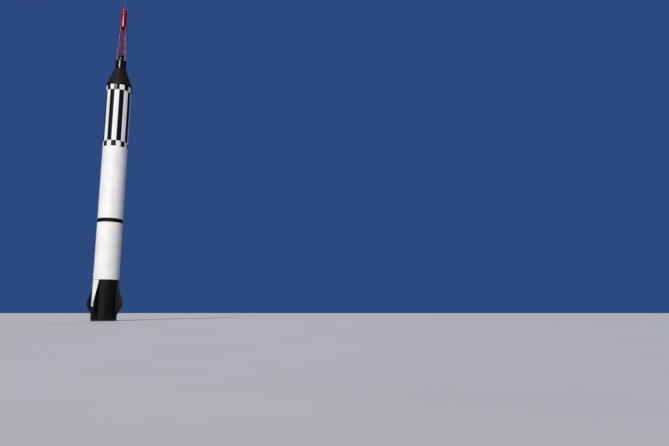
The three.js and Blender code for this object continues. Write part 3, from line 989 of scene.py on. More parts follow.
def make_tunnel():
    """A pressed cover over the cables that run past the tanks, in bays with a strap over each joint."""
    form = Form()
    low, high = span("cable_tunnel")
    place = on_skin(TUNNEL_TURN, 0, body_radius)
    ends = ((low, 0.12), (low + TUNNEL_TAPER, 0.97), (high - TUNNEL_TAPER, 0.97), (high, 0.12))
    loft(form, [tunnel_section(place, height, share) for height, share in ends], WHITE)
    flange = ((-0.012, -SUNK), (0.012, -SUNK), (0.012, 0.002), (-0.012, 0.002))
    for side in (-1, 1):
        foot = on_skin(TUNNEL_TURN + side * TUNNEL_FOOT / BODY_R, low, body_radius)
        strip(form, foot, high - low, flange, WHITE)
        column_of(form, foot, 0.04, high - low, round((high - low) / 0.16), 0.006, WHITE, high=0.002)
    joints = spaced(low, high, round((high - low) / TUNNEL_BAY))[1:-1]
    for middle in joints:
        strap = (middle - TUNNEL_STRAP, middle + TUNNEL_STRAP)
        loft(form, [tunnel_section(place, height, 0.94, 0.005) for height in strap], WHITE)
        for side in (-1, 1):
            foot = on_skin(TUNNEL_TURN + side * TUNNEL_TOE / BODY_R, middle, body_radius)
            plate(form, foot, 0.05, TUNNEL_STRAP * 2, 0.006, 0.006, paint=WHITE)
            fasten(form, foot, [(side * 0.008, up) for up in (-0.022, 0.022)], 0.009, WHITE, bolt, 0.006)
    form.piece("cable_tunnel_cover", ("white",), "white_paint", "cable_tunnel", edge=0.003)


BOX_TURN = math.radians(-75)
BOX_WIDE, BOX_DEEP = 0.23, 0.08
BOX_LID = 0.014
CABLE_SIDE = 0.055  # distance of each cable gland from the box's middle


def make_junction_box():
    """A cast box on the adapter with a screwed lid and two cable glands that lead down to the skin."""
    form = Form()
    low, high = span("junction_box")
    tall = high - low
    base = station(BOX_TURN, BODY_R + 0.028, (low + high) / 2)
    upright_box = base @ Matrix.Rotation(QUARTER, 4, "Y")
    slab(form, upright_box, (tall, BOX_WIDE, BOX_DEEP), 0.006)
    lid = upright_box @ Matrix.Translation((0, 0, 0.046))
    slab(form, lid, (tall - 0.03, BOX_WIDE - 0.03, BOX_LID), 0.004)
    for across, up in border(BOX_WIDE - 0.03, tall - 0.03, 0.016, 0.09):
        fix(form, base, (0.053, across, up), (1, 0, 0), 0.007, 1, rivet)
    for side in (-CABLE_SIDE, CABLE_SIDE):
        gland = base @ Matrix.Translation((0.01, side, -tall / 2))
        turned(form, [(0, -0.045), (0.019, -0.045), (0.024, -0.01), (0.024, 0.01), (0, 0.01)], 12, 1, gland)
        cable = [(-0.036 * share ** 2, 0, -0.03 - 0.17 * share) for share in spaced(0, 1, 4)]
        tube(form, [gland @ Vector(point) for point in cable], 0.011, 10, 0)
    form.piece("junction_box_case", ("grey", "steel"), "bare_steel", "junction_box")


# Tail skirt and base ring

SKIRT_FRAMES = (0.62, 1.0, 1.48, 1.97, 2.46)  # heights of the frames, seen outside as rivet rows
OPEN_FRAMES = SKIRT_FRAMES[:3]  # those below the engine block
OPEN_TOP = OPEN_FRAMES[-1]  # the stringers inside end here
SKIRT_STRINGERS = 24
SKIRT_MARGIN = 0.05  # height of the first rivet of an upright row above the skirt's foot
DOOR_TURNS = (-45, 45, 135, -135)  # degrees, midway between the fins
SKIRT_DOORS = ((2.35, 0.46, 0.52), (0.62, 0.36, 0.3))  # height, width and height of the door
SKIRT_PORTS = (30, -60, 150, -120)  # degrees
SKIRT_PORT_Z = 1.7


def make_tail_skirt():
    """Riveted skirt between the fins, open below, with frames and stringers on its bare inside."""
    form = Form()
    low, high = span("tail_skirt")
    paint_edges = (sizes().tail_black_below, high - JOINT_LINE)
    shell(form, "tail_skirt", BODY_R, BODY_R, tail_paint, SKIRT_WALL, paint_edges)
    joint_rivets(form, "tail_skirt", body_radius, tail_paint)
    for height in SKIRT_FRAMES:
        body_rivets(form, BODY_R, height, tail_paint)
    inner_r = BODY_R - SKIRT_WALL
    for height in OPEN_FRAMES:
        turned(form, drum(inner_r - 0.05, inner_r + SUNK, height - 0.012, height + 0.012), paint=INSIDE)
    for turn in turns(SKIRT_STRINGERS, TURN / SKIRT_STRINGERS / 2):
        stringer_row(form, on_skin(turn, low, body_radius), SKIRT_MARGIN, high - low, tail_paint)
        stringer = station(turn, inner_r - 0.012, (low + OPEN_TOP) / 2)
        slab(form, stringer, (0.028, 0.03, OPEN_TOP - low - 0.02), 0.003, INSIDE)
    for height, width, tall in SKIRT_DOORS:
        for turn in DOOR_TURNS:
            door(form, on_skin(math.radians(turn), height, body_radius), width, tall, tail_paint)
    for turn in SKIRT_PORTS:
        paint = tail_paint(polar(1, math.radians(turn), SKIRT_PORT_Z))
        port(form, turn, SKIRT_PORT_Z, 0.08, paint)
    form.piece("tail_skirt_skin", ("white", "black", "aluminium"), "black_paint", "tail_skirt")


def make_base_ring():
    """The cast ring that the rocket stands on: a groove round its side and a bolt groove below."""
    form = Form()
    low, high = span("tail_base_ring")
    inner = 0.61
    groove = 0.014
    side_r = BODY_R - 0.012
    profile = [
        (BODY_R - 0.006, low), (BODY_R, low + 0.006), (BODY_R, low + 0.03), (side_r, low + 0.042),
        (side_r, high - 0.016), (BODY_R, high - 0.006), (BODY_R, high - 0.001), (inner, high - 0.001),
        (inner, low + 0.004), (inner + 0.004, low), (0.68, low), (0.69, low + groove),
        (0.82, low + groove), (0.83, low),
    ]
    turned(form, profile, sizes().round_steps)
    ring_of(form, 48, side_r, low + 0.062, sizes().bolt_radius, 1, head=bolt)
    ring_of(form, 24, 0.755, low + groove, 0.01, 1, head=bolt, tilt=-QUARTER)
    form.piece("base_ring_casting", ("black", "steel"), "black_paint", "tail_base_ring")


# Engine and what closes the base

BELL_EXIT_R, BELL_EXIT_Z = 0.43, 0.42
BELL_THROAT_R, BELL_THROAT_Z = 0.195, 1.18
BELL_HEAD_R = 0.32
BELL_WALL = 0.012
BELL_HOOPS = (0.5, 0.62, 0.76, 0.92, 1.08)
CHAMBER_TOP = BELL_THROAT_Z + 0.024
INJECTOR_RINGS = ((0.04, 6), (0.08, 12), (0.12, 18), (0.16, 24))  # radius, number of heads
SHIELD_INNER_R = 0.45


def bell_radius(height):
    """Inner radius of the nozzle, which opens fast below its throat."""
    down = share_between(height, BELL_THROAT_Z, BELL_EXIT_Z)
    return mix(BELL_THROAT_R, BELL_EXIT_R, max(down, 0) ** 0.8)


def make_bell():
    """The nozzle with its hoops, its rolled lip and the injector above its throat."""
    form = Form()
    top = span("engine_nozzle")[1]
    heights = [mix(BELL_THROAT_Z, BELL_EXIT_Z, share ** 1.4) for share in spaced(0, 1, 24)]
    inside = [(bell_radius(z), z) for z in heights]
    outside = [(r + BELL_WALL, z) for r, z in reversed(inside)]
    profile = [(0, CHAMBER_TOP), (BELL_THROAT_R, CHAMBER_TOP)] + inside + outside
    profile += [(BELL_THROAT_R + 0.05, 1.24), (BELL_HEAD_R, top - 0.09), (BELL_HEAD_R, top), (0, top)]
    turned(form, profile)
    for height in BELL_HOOPS:
        around = bell_radius(height) + BELL_WALL
        rounded = [(around - 0.004, height - 0.016), (around + 0.012, height - 0.01),
                   (around + 0.012, height + 0.01), (around - 0.004, height + 0.016)]
        turned(form, rounded)
    lip = [(0.002, 0.001), (0.018, 0.001), (0.02, 0.01), (0.018, 0.026), (0.002, 0.026)]
    turned(form, [(BELL_EXIT_R + out, BELL_EXIT_Z + up) for out, up in lip])
    for circle, (radius, count) in enumerate(INJECTOR_RINGS):
        ring_of(form, count, radius, CHAMBER_TOP, 0.007, tilt=-QUARTER, start=0.1 * circle)
    form.piece("engine_bell", ("tinted",), "bare_steel", "engine_nozzle")


def make_heat_shield():
    """The plate round the nozzle: bare sheet with radial battens and three rings of rivets."""
    form = Form()
    low, high = span("heat_shield")
    inner, outer = SHIELD_INNER_R, radius_of("heat_shield") - 0.001
    middle = (inner + outer) / 2
    face = low + 0.004
    edge = 0.004
    turned(form, [(outer - edge, face), (outer, face + edge), (outer, high), (inner, high),
                  (inner, face + edge), (inner + edge, face)])
    for turn in turns(16, TURN / 32):
        slab(form, station(turn, middle, face), (outer - inner - 0.02, 0.05, 0.008), 0.002)
    for radius, count in ((inner + 0.03, 32), (middle, 32), (outer - 0.03, 64)):
        ring_of(form, count, radius, face, 0.008, tilt=-QUARTER, start=TURN / count / 2)
    form.piece("heat_shield_plates", ("aluminium",), "bare_steel", "heat_shield")


def finish_engine_block():
    """The machinery block stays the frame's own solid, in bare steel."""
    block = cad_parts["engine_block"]
    block.data.materials.clear()
    block.data.materials.append(finish("steel"))


VANE_RING_INNER_R, VANE_RING_WEB_R, VANE_RING_OUTER_R = 0.47, 0.5, 0.56
VANE_RING_FLANGE = 0.018
VANE_AXIS_Z = 0.265
VANE_INNER_R, VANE_OUTER_R = 0.13, 0.43
VANE_HALF_CHORDS = (0.1, 0.122)  # at its inner and outer end
VANE_THICKS = (0.02, 0.034)
VANE_STATIONS = ((0, 0.1), (0.12, 0.5), (0.4, 1), (0.75, 1), (1, 0.25))  # share of chord, of thickness
BLADE_STATIONS = ((0, 0.1), (0.4, 1), (0.75, 1), (1, 0.25))  # the same for the fins


def thickness_share(down):
    """Share of a blade's full thickness at a share of its chord down from the leading edge."""
    for (d0, t0), (d1, t1) in zip(BLADE_STATIONS, BLADE_STATIONS[1:]):
        if down <= d1:
            return mix(t0, t1, share_between(down, d0, d1))
    return BLADE_STATIONS[-1][1]


def both_faces(side):
    """A blade's outline from the points of one of its faces."""
    return side + [(x, -y, z) for x, y, z in reversed(side)]


def make_vane_ring():
    """The ring below the nozzle on its four bolted struts, with a collar for each vane's shaft."""
    form = Form()
    low, high = span("jet_vane_ring")
    inner, outer, web = VANE_RING_INNER_R, VANE_RING_OUTER_R, VANE_RING_WEB_R
    flange = VANE_RING_FLANGE
    turned(form, [(outer, low), (outer, low + flange), (web + 0.012, low + flange + 0.006),
                  (web + 0.012, high - flange - 0.006), (outer, high - flange), (outer, high), (inner, high),
                  (inner, low)])
    ring_of(form, 32, 0.535, low, 0.009, head=bolt, tilt=-QUARTER)
    wall_r = radius_of("jet_vane_ring")
    for turn in FIN_TURNS:
        slab(form, station(turn, (web + wall_r) / 2, VANE_AXIS_Z), (wall_r - web - 0.002, 0.1, 0.11), 0.008)
        foot = station(turn, wall_r - 0.012, VANE_AXIS_Z)
        slab(form, foot, (0.02, 0.19, 0.16), 0.005)
        for side in (-0.075, 0.075):
            for up in (-0.05, 0.05):
                fix(form, foot, (-0.01, side, up), (-1, 0, 0), 0.01)
        collar = station(turn, inner + 0.002, VANE_AXIS_Z) @ Matrix.Rotation(-QUARTER, 4, "Y")
        turned(form, drum(0.0235, 0.042, 0, 0.012), 24, 0, collar)
    form.piece("vane_ring_frame", ("steel",), "bare_steel", "jet_vane_ring")


def make_vane(number, turn):
    """A graphite vane in the jet, with the steel shaft that turns it."""
    form = Form()
    rings = []
    for share in spaced(0, 1, 6):
        r = mix(VANE_INNER_R, VANE_OUTER_R, share)
        half, thick = mix(*VANE_HALF_CHORDS, share), mix(*VANE_THICKS, share)
        rings.append(both_faces([
            (r, thick / 2 * t, VANE_AXIS_Z + half - 2 * half * d) for d, t in VANE_STATIONS
        ]))
    loft(form, rings, 0, about_axis(turn))
    axis = station(turn, VANE_OUTER_R, VANE_AXIS_Z) @ Matrix.Rotation(QUARTER, 4, "Y")
    turned(form, [(0, -0.03), (0.016, -0.03), (0.03, 0.001), (0.034, 0.012), (0.034, 0.026),
                  (0.02, 0.03), (0.02, 0.27), (0, 0.27)], 24, 1, axis)
    cad = f"jet_vane_{number}"
    form.piece(f"vane_{number}", ("graphite", "steel"), "graphite", cad, body=cad, edge=0.003)


# Fins and rudders

FIN_INNER_R, FIN_OUTER_R = 0.85, 1.43
FIN_LEAD = (2.93, 1.3)  # height of the leading edge at the body and at the tip
FIN_TRAIL = (0.15, 1.18)  # the same for the trailing edge
FIN_THICK = (0.13, 0.044)  # at the root and at the tip
FIN_TIP_R = 1.415
RUDDER_INNER_R, RUDDER_TOP_Z, RUDDER_AXIS_Z = 1.115, 1.265, 1.08
RUDDER_GAP = 0.006
SLOT_R = RUDDER_INNER_R - RUDDER_GAP
SLOT_TOP = RUDDER_TOP_Z + RUDDER_GAP
OUTER_RIBS = (1.2, 1.3)
NO_LOWER, NO_HIGHER = steady(0), steady(9)  # limits of a part that reaches the blade's own edge
FILLET_REACH = 0.035
FIN_RIVET = 0.006


def fin_edges(r):
    """Heights of the trailing and leading edges at a distance from the axis."""
    share = share_between(r, BODY_R, FIN_OUTER_R)
    return mix(*FIN_TRAIL, share), mix(*FIN_LEAD, share)


def on_chord(r, down):
    """Distance and height of a place at a share of the chord down from the leading edge."""
    low, high = fin_edges(r)
    return r, mix(high, low, down)


def blade_half(r, z):
    """Half the blade's thickness at a place on it."""
    low, high = fin_edges(r)
    down = min(max(share_between(z, high, low), 0), 1)
    thick = mix(*FIN_THICK, share_between(r, FIN_INNER_R, FIN_OUTER_R))
    return thick / 2 * thickness_share(down)


def blade_part(form, stations, low_at, high_at, place):
    """Part of the blade between two edges, at stations out from the axis."""
    rings = []
    for r in stations:
        trail, lead = fin_edges(r)
        low, high = max(low_at(r), trail), min(high_at(r), lead)
        bends = [min(max(mix(lead, trail, down), low), high) for down, _ in BLADE_STATIONS[1:3]]
        rings.append(both_faces([(r, blade_half(r, z), z) for z in (high, *bends, low)]))
    loft(form, rings, 0, place)


def blade_rivets(form, lines, place):
    """Rivets on both faces along straight lines between two (distance, height) points."""
    pitch = sizes().rivet_pitch
    for (r0, z0), (r1, z1) in lines:
        count = max(1, round(math.hypot(r1 - r0, z1 - z0) / pitch))
        for r, z in zip(spaced(r0, r1, count), spaced(z0, z1, count)):
            for side in (-1, 1):
                fix(form, place, (r, side * blade_half(r, z), z), (0, side, 0), FIN_RIVET, head=rivet)


def root_fillet(form, place, side):
    """A formed strip that joins a fin's face to the skirt, bolted to both."""
    low, high = FIN_TRAIL[0] + 0.02, FIN_LEAD[0] - 0.03
    reach = FILLET_REACH
    rings = []
    for z in spaced(low, high, 12):
        face = blade_half(BODY_R, z)
        skin = math.sqrt(BODY_R ** 2 - (face + reach) ** 2)
        rings.append([
            (BODY_R + reach, side * (blade_half(BODY_R + reach, z) - SUNK), z),
            (BODY_R - 0.015, side * (face - SUNK), z),
            (skin - SUNK, side * (face + reach), z),
            (skin + 0.003, side * (face + reach), z),
            (BODY_R + 0.006, side * (face + 0.008), z),
            (BODY_R + reach, side * (blade_half(BODY_R + reach, z) + 0.003), z),
        ][::side])
    loft(form, rings, 0, place)
    for z in spaced(low + 0.04, high - 0.04, 23):
        out = blade_half(BODY_R, z) + reach - 0.012
        skin = math.sqrt(BODY_R ** 2 - out ** 2)
        normal = Vector((1, side * 0.1, 0)).normalized()
        fix(form, place, (skin + 0.003, side * out, z), normal, FIN_RIVET, head=rivet)


def bearing_cover(form, place, side):
    """The riveted cover over the bearing that carries the rudder's shaft."""
    r = SLOT_R - 0.06
    spot = Matrix.Translation((r, side * blade_half(r, RUDDER_AXIS_Z), RUDDER_AXIS_Z))
    lid = place @ spot @ Matrix.Rotation(-side * QUARTER, 4, "X")
    slab(form, lid, (0.1, 0.09, 0.014), 0.004)
    for x, y in border(0.1, 0.09, 0.014, 0.04):
        rivet(form, lid @ Vector((x, y, 0.007)), place.to_3x3() @ Vector((0, side, 0)), 0.005)


def make_fin(number, turn):
    """A fixed fin with its root strips, its rib rivets and the covers over the rudder's bearing."""
    form = Form()
    place = about_axis(turn)
    blade_part(form, (BODY_R - 0.005, 0.96, 1.03, SLOT_R), NO_LOWER, NO_HIGHER, place)
    blade_part(form, (SLOT_R, *OUTER_RIBS, FIN_TIP_R), steady(SLOT_TOP), NO_HIGHER, place)
    lines = []
    for share in (0.1, 0.52, 1):
        r = mix(BODY_R + 0.06, SLOT_R - 0.03, share)
        low, high = fin_edges(r)
        lines.append(((r, low + 0.06), (r, high - 0.1)))
    for down in (0.1, 0.4, 0.75, 0.93):
        lines.append((on_chord(BODY_R + 0.05, down), on_chord(SLOT_R - 0.05, down)))
    for r in OUTER_RIBS:
        lines.append(((r, SLOT_TOP + 0.03), (r, fin_edges(r)[1] - 0.06)))
    lines.append(((SLOT_R + 0.03, SLOT_TOP + 0.025), (FIN_TIP_R - 0.06, SLOT_TOP + 0.025)))
    blade_rivets(form, lines, place)
    for side in (-1, 1):
        root_fillet(form, place, side)
        bearing_cover(form, place, side)
    form.piece(f"fin_{number}_skin", ("black",), "black_paint", f"fin_{number}")


def make_rudder(number, turn):
    """An air rudder with rivets along its edges and its one rib, and the shaft that it turns on."""
    form = Form()
    place = about_axis(turn)
    stations = (RUDDER_INNER_R, *OUTER_RIBS, 1.38, FIN_OUTER_R - 0.001)
    blade_part(form, stations, NO_LOWER, steady(RUDDER_TOP_Z), place)
    inner, outer, rib = RUDDER_INNER_R + 0.03, FIN_OUTER_R - 0.06, 1.24
    low = fin_edges(RUDDER_INNER_R)[0] + 0.09
    top = RUDDER_TOP_Z - 0.03
    blade_rivets(form, [
        ((inner - 0.005, low), (inner - 0.005, top)),
        ((inner, top), (outer, top)),
        ((inner, low), (outer, fin_edges(outer)[0] + 0.05)),
        ((rib, fin_edges(rib)[0] + 0.09), (rib, top - 0.03)),
    ], place)
    shaft = [place @ Vector((r, 0, RUDDER_AXIS_Z)) for r in (0.99, RUDDER_INNER_R + 0.02)]
    tube(form, shaft, 0.015, 24, 1)
    cad = f"air_rudder_{number}"
    form.piece(f"rudder_{number}_skin", ("black", "steel"), "black_paint", cad, body=cad)


# Capsule

CLAMP_PARTS = 3
CAPSULE_RIM = 0.05
SHINGLE_ROWS = 5
SHINGLES_ROUND = 12
BEADS = 7
SAMPLES = 64  # points across one shingle
BEAD_LEVELS = (  # share of a row's height, share of the beads' height there
    (0.01, 0), (0.1, 0), (0.17, 1), (0.86, 1), (0.93, 0), (0.995, 0),
)
LAP = 0.003  # how far the foot of a row stands proud of the row below
SHINGLE_RIVET = 0.0075
HATCH = (math.radians(105), 0.56, 18.25, 19.05)  # turn, width, lowest and highest height
WINDOW = (math.radians(45), 0.3, 18.76, 19.14)
SMALL_DOORS = (
    # turn, width, lowest and highest height: periscope, umbilical and snorkel doors
    (math.radians(45), 0.24, 18.24, 18.52),
    (math.radians(165), 0.16, 18.16, 18.4),
    (math.radians(-15), 0.13, 18.92, 19.08),
)
PANELS = (HATCH, WINDOW, *SMALL_DOORS)
ROLL_JETS = [math.radians(turn) for turn in (-6, 6, 174, 186)]
ROLL_JET_Z = 18.2
TILT_JETS = [math.radians(turn) for turn in (15, 105, 195, 285)]
TILT_JET_Z = 19.94


def cone_radius(height):
    """Radius of the capsule's cone, and of the upright rim below it."""
    share = share_between(height, CONE_LOW + CAPSULE_RIM, CONE_HIGH)
    return mix(CAPSULE_BASE_R, RECOVERY_R, min(max(share, 0), 1))


def under_panel(turn, height, margin):
    """Whether a place on the cone lies under a panel or its frame."""
    for panel_turn, width, low, high in PANELS:
        apart = (turn - panel_turn + math.pi) % TURN - math.pi
        if abs(apart) >= QUARTER or not low - margin < height < high + margin:
            continue
        if abs(cone_radius(height) * math.sin(apart)) < width / 2 + margin:
            return True
    return False


def cone_rivet(form, turn, height, high):
    """A rivet on the shingles, where no panel lies."""
    if not under_panel(turn, height, 0.04):
        fasten(form, on_skin(turn, height, cone_radius), [(0, 0)], SHINGLE_RIVET, high=high)


def make_clamp():
    """The clamp that holds the capsule on its adapter: a band in three parts drawn up by bolts."""
    form = Form()
    low, high = span("clamp_ring")
    middle = (low + high) / 2
    outer = radius_of("clamp_ring")
    turned(form, [(outer - 0.012, low), (outer, low + 0.01), (outer, high - 0.01), (outer - 0.012, high),
                  (0.8, high), (0.8, low)], sizes().round_steps)
    for turn in turns(CLAMP_PARTS, 0.35 * TURN / CLAMP_PARTS):
        for side in (-0.045, 0.045):
            slab(form, station(turn + side, outer + 0.008, middle), (0.03, 0.02, 0.034), 0.003)
        ends = [about_axis(turn + a) @ Vector((outer + 0.008, 0, middle)) for a in (-0.062, 0.062)]
        tube(form, ends, 0.006, 12)
    form.piece("clamp_band", ("black",), "black_paint", "clamp_ring")


def shingle_ring(height, weight, proud):
    """Points round the cone at one height, with a groove between shingles and beads across each of them."""
    ring = []
    for k, turn in enumerate(turns(SHINGLES_ROUND * SAMPLES)):
        across = (k % SAMPLES) / SAMPLES
        out = proud
        if height > CONE_LOW + CAPSULE_RIM and across == 0:
            out -= LAP * 1.3
        inside = share_between(across, 0.09, 0.91)
        if 0 < inside < 1 and not under_panel(turn, height, 0.05):
            out += weight * sizes().shingle_bead * (0.5 - 0.5 * math.cos(TURN * BEADS * inside))
        ring.append(polar(cone_radius(height) + out - 0.001, turn, height))
    return ring


def make_cone():
    """Beaded shingles in lapped rows over the cone, with a smooth rim below them."""
    form = Form()
    low = CONE_LOW + CAPSULE_RIM
    step = (CONE_HIGH - low) / SHINGLE_ROWS
    rows = [low + row * step for row in range(SHINGLE_ROWS)]
    rings = [shingle_ring(height, 0, 0) for height in (CONE_LOW, CONE_LOW + 0.045)]
    for bottom in rows:
        for share, weight in BEAD_LEVELS:
            rings.append(shingle_ring(bottom + step * share, weight, LAP * (1 - share)))
    loft(form, rings)
    for bottom in rows:
        for sector in range(SHINGLES_ROUND):
            for share in (0.05, 0.96):
                for across in (0.1, 0.3, 0.5, 0.7, 0.9):
                    turn = TURN * (sector + across) / SHINGLES_ROUND
                    cone_rivet(form, turn, bottom + step * share, LAP * (1 - share))
            for share in (0.25, 0.5, 0.75):
                for side in (-0.045, 0.045):
                    turn = TURN * (sector + side) / SHINGLES_ROUND
                    cone_rivet(form, turn, bottom + step * share, LAP * 0.4)
    ring_of(form, 72, CAPSULE_BASE_R, CONE_LOW + 0.022, 0.009)
    form.piece("cone_shingles", ("shingle",), "capsule_black", "capsule_cone")


def panel_place(panel):
    """Where a panel of the cone lies, with its width and height."""
    turn, width, low, high = panel
    return on_skin(turn, (low + high) / 2, cone_radius), width, high - low


def make_hatch():
    """The bolted side hatch: a surround, a smooth door with pressed ribs, and fasteners close together."""
    form = Form()
    place, width, tall = panel_place(HATCH)
    cover(form, place, width, tall, 0.045, 0.012, (0.007, 0.022, 0.045), (0.035, 0.06, 0.005), edge=0.003)
    for side in (-0.2, -0.1, 0, 0.1, 0.2):
        rib = on_skin(HATCH[0] + side, (HATCH[2] + HATCH[3]) / 2, cone_radius)
        plate(form, rib, 0.03, tall - 0.2, 0.014, 0.018, edge=0.005, low=0.008)
    form.piece("hatch_cover", ("shingle",), "capsule_black", "side_hatch")


def make_window():
    """The cabin window: a raised frame with screws round a dark quartz pane."""
    form = Form()
    turn, _, low, high = WINDOW
    place, width, tall = panel_place(WINDOW)
    middle = (low + high) / 2
    plate(form, place, width + 0.06, tall + 0.06, 0.05, 0.006, paint=1)
    bar = 0.026
    for side, end in ((-1, low), (1, high)):
        jamb = on_skin(turn + side * (width / 2) / cone_radius(middle), middle, cone_radius)
        plate(form, jamb, bar, tall + bar, 0.008, 0.016, edge=0.004, paint=1)
        sill = on_skin(turn, end, cone_radius)
        plate(form, sill, width + bar, bar, 0.008, 0.016, edge=0.004, paint=1)
    plate(form, place, width - bar, tall - bar, 0.02, 0.01, edge=0.001, paint=0)
    fasten(form, place, border(width, tall, 0.0, 0.05), 0.0055, 1, high=0.016)
    form.piece("window_assembly", ("glass", "shingle"), "window_glass", "window_pane")


def jet_opening(form, turn, height, radius_at):
    """The mouth of a small control jet: a thick rim round a sooted throat."""
    place = on_skin(turn, height, radius_at)
    point = place(0, 0, 0.006)
    mouth = facing(point, (place(0, 0, 0.02) - point).normalized())
    turned(form, [(0.021, -0.02), (0.036, -0.02), (0.034, 0.01), (0.025, 0.01)], 24, 0, mouth)
    turned(form, drum(0, 0.022, -0.02, -0.002), 24, 1, mouth)


def make_capsule_fittings():
    """Small riveted doors on the cone and the mouths of the control jets."""
    form = Form()
    for panel in SMALL_DOORS:
        place, width, tall = panel_place(panel)
        cover(form, place, width, tall, 0.025, 0.01, (0.006, 0.016, 0.05), (0.025, 0.035, 0.004), edge=0.003)
    for turn in ROLL_JETS:
        jet_opening(form, turn, ROLL_JET_Z, cone_radius)
    for turn in TILT_JETS:
        jet_opening(form, turn, TILT_JET_Z, steady(RECOVERY_R))
    form.piece("capsule_fittings", ("shingle", "soot"), "capsule_black")


RECOVERY_PLATES = 12
RECOVERY_SEAM = 0.008
PLATE_THICK = 0.004


def make_recovery():
    """The recovery section: smooth glossy plates round a cylinder with a round shoulder."""
    form = Form()
    low, high = span("recovery_section")
    shoulder = 0.03
    core = RECOVERY_R - PLATE_THICK
    arc = [
        (core - shoulder * (1 - math.cos(turn)), high - shoulder + shoulder * math.sin(turn))
        for turn in spaced(0, QUARTER, 4)
    ]
    turned(form, [(0, low), (core, low)] + arc + [(0, high)])
    width = 2 * RECOVERY_R * math.sin(math.pi / RECOVERY_PLATES) - RECOVERY_SEAM
    for bottom, top in ((low + 0.01, low + 0.286), (low + 0.292, high - shoulder - 0.004)):
        for turn in turns(RECOVERY_PLATES, math.pi / RECOVERY_PLATES):
            place = on_skin(turn, (bottom + top) / 2, steady(core))
            cover(form, place, width, top - bottom, 0.006, PLATE_THICK, (0.0045, 0.016, 0.06), edge=0.0015)
    form.piece("recovery_plates", ("gloss",), "capsule_black", "recovery_section")


def make_antenna_cover():
    """The drum on top of the recovery section, bolted down by a flange and narrower near its top."""
    form = Form()
    low, high = span("antenna_housing")
    flange_r, drum_r, top_r = 0.24, 0.216, 0.188
    turned(form, [(0, low), (flange_r, low), (flange_r, low + 0.03), (flange_r - 0.006, low + 0.036),
                  (drum_r + 0.006, low + 0.04), (drum_r, low + 0.052), (drum_r - 0.002, low + 0.31),
                  (top_r + 0.006, low + 0.326), (top_r, low + 0.338), (top_r - 0.001, high - 0.034),
                  (top_r - 0.006, high - 0.014), (top_r - 0.018, high - 0.003), (top_r - 0.04, high),
                  (0, high)], 64)
    for count, radius, up, size in ((24, flange_r, 0.016, 0.007), (24, drum_r, 0.285, 0.005),
                                    (18, top_r, 0.362, 0.005)):
        ring_of(form, count, radius, low + up, size)
    form.piece("antenna_cover", ("gloss",), "capsule_black", "antenna_housing")


# Escape tower

LEG_TURNS = turns(3)
LEG_FOOT_R, LEG_TOP_R = 0.35, 0.205
LEG_R, RUNG_R, BRACE_R = 0.033, 0.02, 0.018
RUNG_LEVELS = (20.75, 21.33, 21.89, 22.43, 22.94)
RING_INNER_R, RING_OUTER_R = 0.296, 0.418
CONDUIT_LEG = 2  # number of the frame whose leg carries the cable conduit
CONDUIT_R = 0.011
UP = Vector((0, 0, 1))


def leg_point(turn, height):
    """A place on a leg's axis."""
    return polar(mix(LEG_FOOT_R, LEG_TOP_R, share_between(height, TOWER_LOW, TOWER_HIGH)), turn, height)


def leg_direction(turn, height):
    """Which way a leg leads up."""
    return (leg_point(turn, height + 1) - leg_point(turn, height)).normalized()


def weld_sleeve(form, turn, height):
    """A short sleeve with a weld at each end, where rungs meet a leg."""
    profile = [(LEG_R - 0.002, -0.045), (LEG_R + 0.002, -0.045), (LEG_R + 0.006, -0.038),
               (LEG_R + 0.005, 0.038), (LEG_R + 0.002, 0.045), (LEG_R - 0.002, 0.045)]
    turned(form, profile, 20, 0, facing(leg_point(turn, height), leg_direction(turn, height)))


def gusset(form, start, end, up):
    """A three-cornered plate between a leg and a rung."""
    along = (end - start).normalized()
    face = along.cross(up).normalized() * 0.003
    root = along * LEG_R * 0.8
    corners = [start + root, start + along * (LEG_R + 0.07), start + up * 0.085 + root]
    loft(form, [[c - face for c in corners], [c + face for c in corners]])


def leg_ends(form, turn):
    """The bolted foot of a leg and the socket at its top."""
    foot = facing(leg_point(turn, TOWER_LOW), leg_point(turn, TOWER_LOW + 1) - leg_point(turn, TOWER_LOW))
    turned(form, [(0, 0.001), (0.058, 0.001), (0.058, 0.014), (0.044, 0.02), (0.04, 0.09),
                  (LEG_R, 0.1), (0, 0.1)], 24, 0, foot)
    for a in turns(6):
        bolt(form, foot @ Matrix.Rotation(a, 4, "Z") @ Vector((0.05, 0, 0.014)), UP, 0.007)
    head = facing(leg_point(turn, TOWER_HIGH - 0.05), UP)
    turned(form, [(0, 0.0), (LEG_R + 0.001, 0.0), (LEG_R + 0.012, 0.012), (LEG_R + 0.012, 0.049),
                  (0, 0.049)], 24, 0, head)


def conduit(form, turn):
    """The cable conduit that runs up one leg, held by clips."""
    beside = polar(LEG_R + 0.012, turn + 0.5)
    path = [leg_point(turn, height) + beside for height in spaced(TOWER_LOW + 0.05, TOWER_HIGH - 0.02, 24)]
    tube(form, path, CONDUIT_R, 10)
    for point in path[2:-1:3]:
        turned(form, drum(0.009, 0.015, -0.012, 0.012), 12, 0, facing(point, UP))


